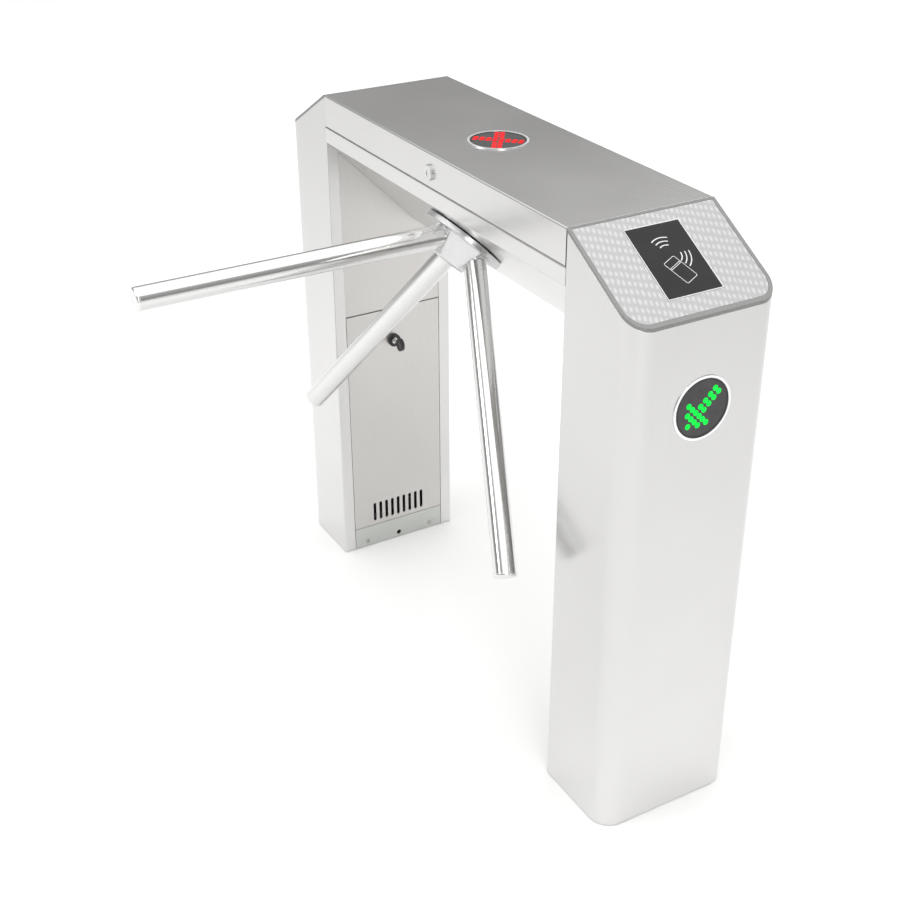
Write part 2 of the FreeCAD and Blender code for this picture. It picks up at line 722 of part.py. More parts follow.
def top_lid():
    """Folded lid with a round cut-out for its light and a hole for its lock."""
    body = new_body("lid_sheet")
    w = half_width
    inner_w = half_width - steel
    under = body_height - steel
    points = [(-w, skirt_z), (-w, body_height), (w, body_height), (w, skirt_z),
              (inner_w, skirt_z), (inner_w, under), (-inner_w, under), (-inner_w, skirt_z)]
    pad(body, outline(body, "lid_profile", "YZ_Plane", points),
        2 * (inner_x - lid_gap), both_ways=True)
    round_edges(body, bend_radius, along_x((-w, body_height), (w, body_height)))
    round_edges(body, bend_radius - steel, along_x((-inner_w, under), (inner_w, under)))
    light = rod("lid_light_hole", light_hole, (0, 0, body_height - 2 * steel), 3 * steel)
    lock = rod("lid_lock_hole", lock_barrel / 2 + fit_gap,
               (0, -half_width - steel, lid_lock_z), 3 * steel, "y")
    node("top_lid", cut("lid_cut", body, [light, lock]))


def lid_lock():
    """Cam lock in the lid's front; its cam hangs when open and turns in under the
    keeper."""
    body, plug = cam_lock("lid_cam_lock", lid_cam, down=True)
    for name, piece in (("lid_lock_barrel", body), ("lid_lock_cam", plug)):
        node(name, place(piece, 0, -half_width, lid_lock_z, Vector(0, 0, 1), 90))


def hinge_leaf_pieces(name, y, z, upper):
    """One leaf: its plate and every other knuckle, joined by tabs."""
    start = hinge_length / -2
    segment = hinge_length / hinge_knuckles
    gap = knuckle_gap / 2
    near = z + hinge_knuckle if upper else z - hinge_leaf_width
    far = z + hinge_leaf_width if upper else z - hinge_knuckle
    pieces = [box(name + "_plate", (start, half_width, near),
                  (-start, half_width + hinge_leaf, far))]
    for i in range(1 if upper else 0, int(hinge_knuckles.value), 2):
        x = start + i * segment + gap
        end = x + segment - 2 * gap
        pieces.append(rod(name + "_knuckle", hinge_knuckle, (x, y, z), end - x, "x"))
        pieces.append(box(name + "_tab", (x, half_width, z if upper else near),
                          (end, half_width + hinge_leaf, far if upper else z)))
    return pieces


def lid_hinge():
    """Piano hinge across the seam at the back: two leaves and a pin."""
    y = half_width + hinge_knuckle + hinge_stand
    z = skirt_z - lid_gap / 2
    for name, upper in (("lid_hinge_lid_leaf", True), ("lid_hinge_back_leaf", False)):
        bore = rod(name + "_bore", hinge_pin + running_fit, (hinge_length / -2 - seam, y, z),
                   hinge_length + 2 * seam, "x")
        leaf = fuse(name + "_joined", hinge_leaf_pieces(name, y, z, upper))
        node(name, cut(name + "_cut", leaf, [bore]))
    node("lid_hinge_pin", rod("hinge_pin_rod", hinge_pin, (hinge_length / -2, y, z),
                              hinge_length, "x"))


lane_panel()
back_panel()
top_lid()
lid_lock()
lid_hinge()


# ---------------------------------------------------------------- reader slopes
def slope_prism(name, foot, side=None, head=None):
    """Upright block in plan like the leg's end, drawn in at its foot, sides and head."""
    side = foot if side is None else side
    head = foot if head is None else head
    body = new_body(name)
    near_x = inner_x + head * slope_cos
    far_x = half_length - foot * slope_cos
    pad(body, rectangle(body, name + "_plan", "XY_Plane",
                        (near_x, side - half_width), (far_x, half_width - side)),
        body_height)
    round_edges(body, corner_radius - foot * slope_cos, upright_at(far_x))
    return body


def slope_ring(name, outer, inner, top, bottom):
    """A ring between two insets and two depths of the slope."""
    ring = cut(name + "_plan", slope_prism(name + "_outer", as_size(outer)),
               [slope_prism(name + "_inner", *inner)])
    return common(name, ring, slope_slab(name + "_slab", top, bottom))


def window_block(name, grow):
    """Upright block over the reader window."""
    x0 = inner_x + window_start * slope_cos - grow
    x1 = inner_x + (window_start + window_length) * slope_cos + grow
    half = window_width / 2 + grow
    return box(name, (x0, -half, body_height / 2), (x1, half, body_height))


def reader_slope(end):
    """Ledged frame, patterned plate and dark window of one reader slope."""
    ledge = trim_depth + steel
    frame = fuse(f"trim_{end}_joined", [
        slope_ring(f"trim_{end}_band", 0, (trim_band, trim_side, trim_head), 0,
                   trim_depth),
        slope_ring(f"trim_{end}_ledge", steel + seam / 2, (2 * trim_band,), trim_depth,
                   ledge)])
    end_node(f"reader_trim_{end}", frame, end)
    plate = cut(f"plate_{end}_blank", slope_prism(
        f"plate_{end}_plan", trim_band + fit_gap, trim_side + fit_gap, trim_head + fit_gap),
                [window_block(f"plate_{end}_window", fit_gap)])
    plate = common(f"plate_{end}", plate,
                   slope_slab(f"plate_{end}_slab", plate_sunk, trim_depth))
    end_node(f"reader_plate_{end}", plate, end)
    glass = common(f"window_{end}", window_block(f"window_{end}_block", as_size(0)),
                   slope_slab(f"window_{end}_slab", plate_sunk / 2, trim_depth))
    end_node(f"reader_window_{end}", glass, end)
    reader = common(f"reader_{end}", window_block(f"reader_{end}_block", 2 * steel),
                    slope_slab(f"reader_{end}_slab", trim_depth, trim_depth + reader_depth))
    return turned(reader, end)


node("card_readers", group("reader_pair", [reader_slope("entry"), reader_slope("exit")]))


# ---------------------------------------------------------------- indicator lights
def indicator(name, face, along):
    """A round light on a face: bezel with its sleeve, lens and board."""
    def disc(part, radius, start, length):
        spot = [0, 0, light_height] if along == "x" else [0, 0, 0]
        spot["xyz".index(along)] = face + start
        return rod(f"{name}_{part}", radius, spot, length, along)

    sleeve_depth = 4 * lens_depth
    flange = disc("flange", bezel_radius, 0, bezel_proud)
    sleeve = disc("sleeve", lens_radius + steel, -sleeve_depth, sleeve_depth)
    bore = disc("bore", lens_radius + fit_gap, -sleeve_depth, 2 * sleeve_depth)
    bezel = cut(name + "_bezel", fuse(name + "_blank", [flange, sleeve]), [bore])
    lens = disc("lens", lens_radius, bezel_proud / 2 - lens_depth, lens_depth)
    board = disc("board", lens_radius, -3 * lens_depth, steel)
    return bezel, lens, board


def indicators():
    """Lights on both ends and on the lid."""
    boards = []
    for end in ("entry", "exit"):
        bezel, lens, board = indicator(f"light_{end}", half_length, "x")
        end_node(f"end_light_bezel_{end}", bezel, end)
        end_node(f"end_light_lens_{end}", lens, end)
        boards.append(turned(board, end))
    node("end_light_boards", group("light_board_pair", boards))
    for part, piece in zip(("bezel", "lens", "board"),
                           indicator("light_top", body_height, "z")):
        node(f"top_light_{part}", piece)


indicators()


# ---------------------------------------------------------------- barrier head
def arm_rod(name, radius, start, end, off=0):
    """A round bar on the first arm's centre line, which leaves the shaft's axis at
    its tilt and leans to -Y; it can be moved sideways towards the cabinet."""
    lean = sine(tilt)
    rise = cosine(tilt)
    bar = doc.addObject("Part::Cylinder", name)
    bind(bar, "Radius", radius)
    bind(bar, "Height", end - start)
    return place(bar, 0, -start * lean - off * rise, off * lean - start * rise,
                 Vector(1, 0, 0), 180 - tilt.value)


def three_round(name, build):
    """Three copies of a piece round the shaft."""
    return [spun(f"{name}_turn{i}", [build(f"{name}_{i}")], 120 * i) for i in range(3)]


def head_taper(back):
    """Six-sided tapered nose: three wide flats and three faces towards the arms."""
    body = new_body("head_taper")
    root3 = math.sqrt(3)
    points = []
    for i in range(3):
        mid = math.radians(-90 + 120 * i)
        half = (2 * head_flat - head_face) / root3
        for side in (-1, 1):
            points.append((head_face * math.cos(mid) - side * half * math.sin(mid),
                           head_face * math.sin(mid) + side * half * math.cos(mid)))
    sketch = outline(body, "head_section", "XY_Plane", points)
    feature = pad(body, sketch, hub_depth)
    feature.TaperAngle = -head_draft.value
    feature.setExpression("TaperAngle", f"(0 - {head_draft.formula}) * 1 deg")
    feature.Reversed = True
    round_edges(body, head_round, lambda e: e.BoundBox.ZMin < -1)
    return place(body, 0, 0, -back)


def screw_ring(name, start, radius, length):
    """Three bars on the shaft flange's screw circle."""
    ring = shaft_flange - 3 * screw_radius
    return three_round(name, lambda n: rod(n, radius, (0, ring, start), length))


def tripod_head():
    """Cast head: flange, tapered nose, three arm bosses and their spigots."""
    back = apex_back + hub_gap
    flange = rod("head_flange", hub_rim, (0, 0, -back - hub_flange), hub_flange)
    bosses = three_round("head_boss", lambda n: arm_rod(
        n, arm_radius + boss_wall, arm_seat - boss_length, arm_seat))
    spigots = three_round("head_spigot", lambda n: arm_rod(
        n, arm_radius - arm_wall - fit_gap, arm_seat - boss_length,
        arm_seat + spigot_length))
    solid = fuse("head_solid", [head_taper(back), flange, *bosses, *spigots])
    recess = rod("head_recess", shaft_flange + fit_gap, (0, 0, -back - recess_depth),
                 recess_depth)
    above = rod("head_above", 2 * hub_rim, (0, 0, -back), 2 * hub_rim)
    threads = screw_ring("head_tapping", -back - recess_depth - screw_bite, screw_radius,
                         screw_bite)
    threads += three_round("head_socket", lambda n: cut(
        n, arm_rod(n + "_outer", arm_radius + fit_gap, arm_seat, arm_seat + spigot_length),
        [arm_rod(n + "_inner", arm_radius - arm_wall - fit_gap, arm_seat,
                 arm_seat + spigot_length)]))
    for i, side in enumerate(screw_sides):
        threads.append(spun(f"head_set{i}_turn", [set_screw(f"head_set{i}", 0, side)],
                            120 * i))
    node("tripod_head", in_shaft_frame("head_placed", [
        cut("head_cut", solid, [recess, above, *threads])]))


# Set screws face down on the first two arms and up on the third, away from visitors.
screw_sides = (-1, -1, 1)


def arm_piece(i):
    """One straight tube with a hole for its set screw."""
    tube = arm_rod(f"arm{i}_tube", arm_radius, arm_seat, arm_tip - tip_plug)
    hollow = arm_rod(f"arm{i}_hollow", arm_radius - arm_wall, arm_seat - steel,
                     arm_tip + steel)
    return cut(f"arm{i}_cut", tube,
               [hollow, set_screw(f"arm{i}_hole", fit_gap, screw_sides[i])])


def set_screw(name, grow, side):
    """Set screw square to an arm, through the tube wall into the spigot."""
    bar = doc.addObject("Part::Cylinder", name)
    bind(bar, "Radius", set_screw_radius + grow)
    bind(bar, "Height", set_screw_length)
    lean = sine(tilt)
    rise = cosine(tilt)
    along = arm_seat + spigot_length / 2
    off = arm_radius - set_screw_length if side > 0 else -arm_radius
    return place(bar, 0, -along * lean - off * rise, off * lean - along * rise,
                 Vector(1, 0, 0), 90 - tilt.value)


def arm_plug(i):
    """Domed tip plug with a shank inside the tube."""
    cap = arm_rod(f"arm{i}_cap", arm_radius, arm_tip - tip_plug, arm_tip)
    doc.recompute()
    far = max((e.CenterOfMass.Length, k) for k, e in enumerate(cap.Shape.Edges)
              if e.Closed)[1]
    dome = doc.addObject("Part::Fillet", f"arm{i}_dome")
    dome.Base = cap
    dome.Edges = [(far + 1, tip_round.value, tip_round.value)]
    shank = arm_rod(f"arm{i}_shank", arm_radius - arm_wall - fit_gap,
                    arm_tip - 4 * tip_plug, arm_tip - tip_plug)
    return fuse(f"arm{i}_plug", [dome, shank])


def arms():
    """Three straight tubes, their tip plugs and their set screws."""
    plugs = []
    screws = []
    for i in range(3):
        tube = spun(f"arm{i}_turn", [arm_piece(i)], 120 * i)
        node(f"arm_{i + 1}", in_shaft_frame(f"arm{i}_placed", [tube]))
        plugs.append(spun(f"plug{i}_turn", [arm_plug(i)], 120 * i))
        screws.append(spun(f"screw{i}_turn", [set_screw(f"arm{i}_screw", 0,
                                                       screw_sides[i])], 120 * i))
    node("arm_end_plugs", in_shaft_frame("arm_plugs_placed", plugs))
    node("arm_set_screws", in_shaft_frame("arm_screws_placed", screws))


tripod_head()
arms()


# ---------------------------------------------------------------- shaft, gears, wheel
def tooth_points(teeth, phase):
    """Rim of an involute gear about the origin, with one tooth at the phase angle."""
    module = gear_module.value
    pitch = module * teeth / 2
    pressure = math.radians(20)
    base = pitch * math.cos(pressure)
    root = pitch - 1.25 * module
    tip = pitch + module
    thick = (math.pi * module / 2 - backlash.value) / 2 / pitch
    involute = math.tan(pressure) - pressure

    def half_angle(r):
        lean = math.acos(min(1, base / r))
        return thick + involute - (math.tan(lean) - lean)

    levels = [root, max(base, root + module / 20), pitch, (pitch + tip) / 2, tip]
    points = []
    for k in range(teeth):
        middle = 2 * math.pi * k / teeth + phase
        for sign, order in ((-1, levels), (1, levels[::-1])):
            for r in order:
                a = middle + sign * half_angle(r)
                points.append(Vector(r * math.cos(a), r * math.sin(a), 0))
    return points


def gear(name, teeth, phase, bore):
    """A spur gear blank of the sheet's module with a round bore."""
    points = tooth_points(teeth, phase)
    blank = Part.Face(Part.makePolygon(points + points[:1]))
    wheel = doc.addObject("Part::Feature", name)
    wheel.Shape = blank.extrude(Vector(0, 0, gear_width.value)).cut(
        Part.makeCylinder(bore.value, gear_width.value))
    return wheel


def main_shaft():
    """Shaft with the flange that the head is screwed to, and its screws."""
    low = -apex_back - hub_gap - recess_depth
    bar = rod("shaft_bar", shaft_radius, (0, 0, low), shaft_top - low)
    flange = rod("shaft_flange_disc", shaft_flange, (0, 0, low), flange_thick)
    holes = screw_ring("shaft_hole", low, screw_radius + fit_gap, flange_thick)
    node("main_shaft", in_shaft_frame("shaft_placed", [
        cut("shaft_cut", fuse("shaft_blank", [bar, flange]), holes)]))
    ring = shaft_flange - 3 * screw_radius
    screws = []
    for i in range(3):
        shank = rod(f"bolt{i}_shank", screw_radius, (0, ring, low - screw_bite),
                    flange_thick + screw_bite)
        head = rod(f"bolt{i}_head", screw_radius * 1.6, (0, ring, low + flange_thick),
                   screw_radius)
        screws.append(spun(f"bolt{i}_turn", [fuse(f"bolt{i}", [shank, head])], 120 * i))
    node("shaft_screws", in_shaft_frame("bolts_placed", screws))


def shaft_gears():
    """Damper gear on the shaft, with a tooth towards the pinion below it, and the
    pinion, which turns faster by the ratio of the teeth."""
    wheel = place(gear("gear_teeth_blank", int(gear_teeth.value), math.pi / 2,
                       shaft_radius), 0, 0, gear_height)
    node("damper_gear", in_shaft_frame("gear_placed", [wheel]))
    count = int(pinion_teeth.value)
    small = place(gear("pinion_teeth_blank", count, math.pi / count - math.pi / 2,
                       pinion_bore), 0, pinion_spot, gear_height)
    stem = rod("pinion_stem_bar", pinion_bore, (0, pinion_spot, gear_height - pinion_stem),
               pinion_stem + gear_width)
    node("damper_pinion", in_shaft_frame("pinion_placed", [
        fuse("pinion_joined", [small, stem])]))


def lock_wheel():
    """Notched wheel that the pawls hold."""
    disc = rod("wheel_disc", wheel_radius, (0, 0, wheel_height), wheel_width)
    tools = [rod("wheel_bore", shaft_radius, (0, 0, wheel_height), wheel_width)]
    for i in range(int(notch_count.value)):
        notch = box(f"wheel_notch{i}", (wheel_radius - notch_depth, notch_width / -2,
                                        wheel_height),
                    (wheel_radius + notch_depth, notch_width / 2,
                     wheel_height + wheel_width))
        tools.append(spun(f"wheel_notch{i}_turn", [notch], 360 / notch_count.value * i))
    node("lock_wheel", in_shaft_frame("wheel_placed", [cut("wheel_cut", disc, tools)]))


main_shaft()
shaft_gears()
lock_wheel()


# ---------------------------------------------------------------- mechanism frame
def bearing_seat():
    """Flanged housing with a ball bearing at each end."""
    body = rod("housing_body", housing_radius, (0, 0, frame_inner), housing_length)
    flange = rod("housing_flange", housing_rim, (0, 0, frame_inner), frame_plate)
    bore = rod("housing_bore", bearing_radius, (0, 0, frame_inner), housing_length)
    node("bearing_housing", in_shaft_frame("housing_placed", [
        cut("housing_cut", fuse("housing_blank", [body, flange]), [bore])]))
    rings = []
    for i, low in enumerate((frame_inner, frame_inner + housing_length - bearing_width)):
        outer = rod(f"bearing{i}_ring", bearing_radius, (0, 0, low), bearing_width)
        inner = rod(f"bearing{i}_bore", shaft_radius + running_fit, (0, 0, low),
                    bearing_width)
        rings.append(cut(f"bearing{i}_cut", outer, [inner]))
    node("shaft_bearings", in_shaft_frame("bearings_placed", rings))


def rotary_damper():
    """Oil damper standing on the plate, with the pinion's stem in its well."""
    top = gear_height - seam
    low = gear_height - pinion_stem - seam
    can = rod("damper_can", damper_radius, (0, pinion_spot, frame_inner),
              top - frame_inner)
    well = rod("damper_well", pinion_bore + running_fit, (0, pinion_spot, low), top - low)
    node("rotary_damper", in_shaft_frame("damper_placed", [cut("damper_cut", can, [well])]))


def mechanism_frame():
    """Welded frame: a plate square to the shaft with two pawl studs and two solenoid
    posts, and two webs down to the beam's floor."""
    plate = box("frame_sheet", (-frame_half, -frame_up, frame_inner - frame_plate),
                (frame_half, frame_down, frame_inner))
    mouth = rod("frame_mouth", bearing_radius, (0, 0, frame_inner - frame_plate), frame_plate)
    pieces = [cut("frame_bored", plate, [mouth])]
    for side in (-1, 1):
        pieces.append(rod("frame_stud", pawl_stud, (side * pivot_u, -pawl_reach, frame_inner),
                          wheel_height + wheel_width + seam - frame_inner))
        x = side * (solenoid_near + solenoid_length / 2)
        pieces.append(box("frame_post", (x - post_half, -post_half, frame_inner),
                          (x + post_half, post_half, solenoid_z - solenoid_half)))
    head = in_shaft_frame("frame_head", [fuse("frame_top", pieces)])
    webs = []
    low = floor_z + steel
    back_y = half_width - 2 * steel
    mid = frame_inner - frame_plate / 2
    front_y, front_z = in_cabinet(frame_down - frame_plate, mid)
    high_y, high_z = in_cabinet(frame_down / 4, mid)
    for i, side in enumerate((-1, 1)):
        web = new_body(f"frame_web{i}")
        pad(web, outline(web, f"frame_web{i}_side", "YZ_Plane", [
            (slant_y + steel, low), (back_y, low), (back_y, low + web_rise),
            (high_y, high_z), (front_y, front_z)]), frame_plate / 2, both_ways=True)
        webs.append(place(web, side * (frame_half - frame_plate), 0, 0))
    node("mechanism_frame", fuse("frame_joined", [head, *webs]))


def pawl(end, side):
    """Pawl about its own pivot, swung clear of the wheel by the rest angle."""
    half = pawl_bar / 2
    low = wheel_height
    top = wheel_height + wheel_width
    inner = half + pawl_lift + notch_depth - seam
    far = pawl_reach + tooth_width / 2
    tooth_x = sorted((-side * inner, -side * 0), key=lambda s: as_size(s).value)
    pieces = [
        box(f"pawl_{end}_bar", (-half, 0, low), (half, far, top)),
        box(f"pawl_{end}_tooth", (tooth_x[0], pawl_reach - tooth_width / 2, low),
            (tooth_x[1], far, top)),
        rod(f"pawl_{end}_eye", pawl_eye, (0, 0, low), wheel_width)]
    bore = rod(f"pawl_{end}_bore", pawl_stud + running_fit, (0, 0, low), wheel_width)
    blank = cut(f"pawl_{end}_cut", fuse(f"pawl_{end}_blank", pieces), [bore])
    return place(blank, side * pivot_u, -pawl_reach, 0, Vector(0, 0, 1),
                 -side * pawl_swing.value)


def locks():
    """Two pawls and the solenoids whose plungers push them in."""
    coils = []
    for end, side in (("entry", 1), ("exit", -1)):
        node(f"lock_pawl_{end}", in_shaft_frame(f"pawl_{end}_placed", [pawl(end, side)]))
        tip = pivot_u + plunger_rest
        ends = sorted((side * tip, side * (tip + plunger_length)), key=lambda s: s.value)
        plunger = rod(f"plunger_{end}_rod", plunger_radius, (ends[0], 0, solenoid_z),
                      plunger_length, "x")
        node(f"solenoid_plunger_{end}", in_shaft_frame(f"plunger_{end}_placed", [plunger]))
        ends = sorted((side * solenoid_near, side * (solenoid_near + solenoid_length)),
                      key=lambda s: s.value)
        can = box(f"solenoid_{end}_can", (ends[0], -solenoid_half,
                                          solenoid_z - solenoid_half),
                  (ends[1], solenoid_half, solenoid_z + solenoid_half))
        bore = rod(f"solenoid_{end}_bore", plunger_radius + running_fit,
                   (ends[0] - seam, 0, solenoid_z), solenoid_length + 2 * seam, "x")
        coils.append(cut(f"solenoid_{end}_cut", can, [bore]))
    node("lock_solenoids", in_shaft_frame("solenoids_placed", coils))


bearing_seat()
rotary_damper()
mechanism_frame()
locks()


# ---------------------------------------------------------------- electronics
def control_board():
    """Controller on four standoffs at the beam's back."""
    face = half_width - steel
    y0 = face - standoff
    x0 = -board_near - board_length
    pieces = [box("board_laminate", (x0, y0 - steel, board_low),
                  (-board_near, y0, board_low + board_rise))]
    for side_x in (x0 + board_edge, -board_near - board_edge):
        for z in (board_low + board_edge, board_low + board_rise - board_edge):
            pieces.append(rod("board_standoff", board_edge / 2, (side_x, y0, z), standoff,
                              "y"))
    third = board_length / 3
    pieces.append(box("board_relays", (x0 + board_edge, y0 - steel - 2 * board_edge,
                                       board_low + 2 * board_edge),
                      (x0 + third, y0 - steel, board_low + board_rise / 2)))
    pieces.append(box("board_terminals", (x0 + third + board_edge, y0 - steel - board_edge,
                                          board_low + board_edge / 2),
                      (-board_near - board_edge, y0 - steel, board_low + 2 * board_edge)))
    node("control_board", fuse("board_joined", pieces))


def power_supply():
    """Caged power supply on the beam's floor."""
    low = floor_z + steel
    case = box("supply_case", (board_near, supply_back - supply_width, low),
               (board_near + supply_length, supply_back, low + supply_height))
    ledge = box("supply_notch", (board_near, supply_back - supply_width,
                                 low + supply_height / 2),
                (board_near + supply_height / 2, supply_back, low + supply_height))
    node("power_supply", cut("supply_cut", case, [ledge]))


control_board()
power_supply()


# ---------------------------------------------------------------- checks and files
def write_nodes():
    """Recomputes, looks every object over and writes one file for each sub-part."""
    doc.recompute()
    for obj in doc.Objects:
        bad = [s for s in obj.State if s in ("Invalid", "Error")]
        if bad:
            raise RuntimeError(f"{obj.Label}: {bad}")
    os.makedirs("parts", exist_ok=True)
    for obj in nodes:
        shape = obj.Shape
        if shape.isNull() or not shape.isValid() or not shape.Solids:
            raise RuntimeError(f"{obj.Label}: shape is not a valid solid")
        shape.exportStep(f"parts/{obj.Label}.step")


write_nodes()
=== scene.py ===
import math

import bpy
from mathutils import Euler, Matrix, Vector


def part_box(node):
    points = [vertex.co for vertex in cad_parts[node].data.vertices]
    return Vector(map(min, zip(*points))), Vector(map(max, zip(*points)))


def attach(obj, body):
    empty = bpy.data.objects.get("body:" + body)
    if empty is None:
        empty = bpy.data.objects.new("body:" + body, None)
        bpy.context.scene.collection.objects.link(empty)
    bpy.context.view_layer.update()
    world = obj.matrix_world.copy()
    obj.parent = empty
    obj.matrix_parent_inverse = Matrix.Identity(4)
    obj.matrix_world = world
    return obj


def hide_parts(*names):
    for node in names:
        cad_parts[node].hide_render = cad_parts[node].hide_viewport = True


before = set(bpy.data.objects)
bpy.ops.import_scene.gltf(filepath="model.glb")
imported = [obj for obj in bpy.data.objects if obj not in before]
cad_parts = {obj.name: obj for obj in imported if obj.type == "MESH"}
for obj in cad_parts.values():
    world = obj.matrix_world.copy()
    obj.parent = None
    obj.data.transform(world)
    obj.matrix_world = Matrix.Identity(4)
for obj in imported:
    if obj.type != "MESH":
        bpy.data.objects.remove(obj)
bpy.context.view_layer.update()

# Studio: a plain white floor, a wide soft ceiling light, two side boxes, and a camera
# that looks down on the entry end from the lane side.
mm = 0.001
camera_place = (1.9134, -1.1757, 1.6677)
camera_down = 29.37
camera_round = 60.5
camera_lean = -0.33
camera_lens = 56.6
floor_size = 60
floor_white = 0.95
air_strength = 0.9
bpy.ops.object.select_all(action="DESELECT")
camera_data = bpy.data.cameras.new("studio_camera")
camera_data.lens = camera_lens
camera = bpy.data.objects.new("studio_camera", camera_data)
bpy.context.scene.collection.objects.link(camera)
bpy.context.scene.camera = camera
camera_roll = Matrix.Rotation(math.radians(camera_lean), 3, "Z")
camera_turn = Euler((math.radians(90 - camera_down), 0,
                     math.radians(camera_round))).to_matrix()
camera.rotation_euler = (camera_turn @ camera_roll).to_euler()
camera.location = camera_place
bpy.context.scene.view_settings.view_transform = "Standard"

bpy.ops.mesh.primitive_plane_add(size=floor_size, location=(0, 0, -1 * mm))
floor = bpy.context.object
floor.name = "studio_floor"
bpy.ops.object.transform_apply(location=True, rotation=True, scale=True)
floor_paint = bpy.data.materials.new("studio_floor_paint")
floor_paint.use_nodes = True
floor_shader = floor_paint.node_tree.nodes["Principled BSDF"]
floor_shader.inputs["Base Color"].default_value = (floor_white, floor_white, floor_white, 1)
floor_shader.inputs["Roughness"].default_value = 0.9
floor_shader.inputs["Specular IOR Level"].default_value = 0.2
floor.data.materials.append(floor_paint)

# The air round the studio is dim low down and bright overhead, so that level sheet
# looks grey and sloping sheet looks bright.
air = bpy.data.worlds.new("studio_air")
bpy.context.scene.world = air
air.use_nodes = True
air_nodes = air.node_tree.nodes
air_links = air.node_tree.links
air_place = air_nodes.new("ShaderNodeTexCoord")
air_split = air_nodes.new("ShaderNodeSeparateXYZ")
air_ramp = air_nodes.new("ShaderNodeValToRGB")
air_links.new(air_place.outputs["Generated"], air_split.inputs["Vector"])
air_links.new(air_split.outputs["Z"], air_ramp.inputs["Fac"])
air_links.new(air_ramp.outputs["Color"], air_nodes["Background"].inputs["Color"])
air_levels = ((0.0, 0.4), (0.2, 0.38), (0.5, 0.56), (0.6, 0.6), (0.82, 1.0))
air_ramp.color_ramp.elements[0].position = air_levels[0][0]
air_ramp.color_ramp.elements[1].position = air_levels[-1][0]
for height, _ in air_levels[1:-1]:
    air_ramp.color_ramp.elements.new(height)
for stop, (_, level) in zip(air_ramp.color_ramp.elements, air_levels):
    stop.color = (level, level * 0.995, level * 0.985, 1)
air_nodes["Background"].inputs["Strength"].default_value = air_strength


def soft_box(name, place, aim, width, height, power):
    """A rectangular studio light aimed at a point."""
    data = bpy.data.lights.new(name, "AREA")
    data.shape = "RECTANGLE"
    data.size = width
    data.size_y = height
    data.energy = power
    lamp = bpy.data.objects.new(name, data)
    bpy.context.scene.collection.objects.link(lamp)
    lamp.location = place
    lamp.rotation_euler = (Vector(aim) - Vector(place)).to_track_quat("-Z", "Y").to_euler()


soft_box("ceiling_box", (-1, 1, 5.5), (-1, 1, 0), 13, 13, 420)
soft_box("entry_box", (4.5, -1.5, 2.4), (0, 0, 0.5), 1.2, 2.4, 40)
soft_box("lane_box", (-1.0, -4.5, 2.6), (0, 0, 0.5), 2.4, 1.2, 40)


# Leg skins: folded 1.5 mm stainless sheet, ground satin with an upright grain and left
# bare.  The sheet is never quite flat, and every fold has a soft edge that catches light.
def new_finish(name, roughness, metallic=0.0):
    """A finish with its even values on the shader's own sockets."""
    finish = bpy.data.materials.new(name)
    finish.use_nodes = True
    shader = finish.node_tree.nodes["Principled BSDF"]
    shader.inputs["Metallic"].default_value = metallic
    shader.inputs["Roughness"].default_value = roughness
    return finish, finish.node_tree, shader


def grain(tree, scale, stretch=(1, 1, 1), detail=3.0):
    """Noise on the object's own coordinates, drawn out along some axes."""
    place = tree.nodes.new("ShaderNodeTexCoord")
    mapping = tree.nodes.new("ShaderNodeMapping")
    mapping.inputs["Scale"].default_value = stretch
    noise = tree.nodes.new("ShaderNodeTexNoise")
    noise.inputs["Scale"].default_value = scale
    noise.inputs["Detail"].default_value = detail
    noise.inputs["Roughness"].default_value = 0.55
    tree.links.new(place.outputs["Object"], mapping.inputs["Vector"])
    tree.links.new(mapping.outputs["Vector"], noise.inputs["Vector"])
    return noise.outputs["Fac"]


def spread(tree, source, low, high, start=0.3, end=0.7):
    """Stretches part of a 0 to 1 signal over a range of values."""
    level = tree.nodes.new("ShaderNodeMapRange")
    level.inputs["From Min"].default_value = start
    level.inputs["From Max"].default_value = end
    level.inputs["To Min"].default_value = low
    level.inputs["To Max"].default_value = high
    tree.links.new(source, level.inputs["Value"])
    return level.outputs["Result"]


def tint(tree, source, dark, light, start=0.3, end=0.7):
    """Runs from one colour to another along a signal."""
    ramp = tree.nodes.new("ShaderNodeValToRGB")
    ramp.color_ramp.elements[0].position = start
    ramp.color_ramp.elements[0].color = (*dark, 1)
    ramp.color_ramp.elements[1].position = end
    ramp.color_ramp.elements[1].color = (*light, 1)
    tree.links.new(source, ramp.inputs["Fac"])
    return ramp.outputs["Color"]


def relief(tree, source, depth, strength, over=None):
    """A bump of some depth in metres, on top of another if one is given."""
    bump = tree.nodes.new("ShaderNodeBump")
    bump.inputs["Distance"].default_value = depth
    bump.inputs["Strength"].default_value = strength
    tree.links.new(source, bump.inputs["Height"])
    if over:
        tree.links.new(over, bump.inputs["Normal"])
    return bump.outputs["Normal"]


def soft_edge(tree, radius):
    """Rounds the look of every sharp fold or corner."""
    edge = tree.nodes.new("ShaderNodeBevel")
    edge.samples = 6
    edge.inputs["Radius"].default_value = radius
    return edge.outputs["Normal"]


def painted_top_shade(tree, colour, top_shade):
    """Painted shade: darkens the sheet's colour from full at the floor to a share near the
    top.
    """
    place = tree.nodes.new("ShaderNodeTexCoord")
    split = tree.nodes.new("ShaderNodeSeparateXYZ")
    tree.links.new(place.outputs["Object"], split.inputs["Vector"])
    tone = spread(tree, split.outputs["Z"], 1.0, top_shade, 0.0, 0.9)
    fade = tree.nodes.new("ShaderNodeVectorMath")
    fade.operation = "SCALE"
    tree.links.new(colour, fade.inputs[0])
    tree.links.new(tone, fade.inputs["Scale"])
    return fade.outputs["Vector"]


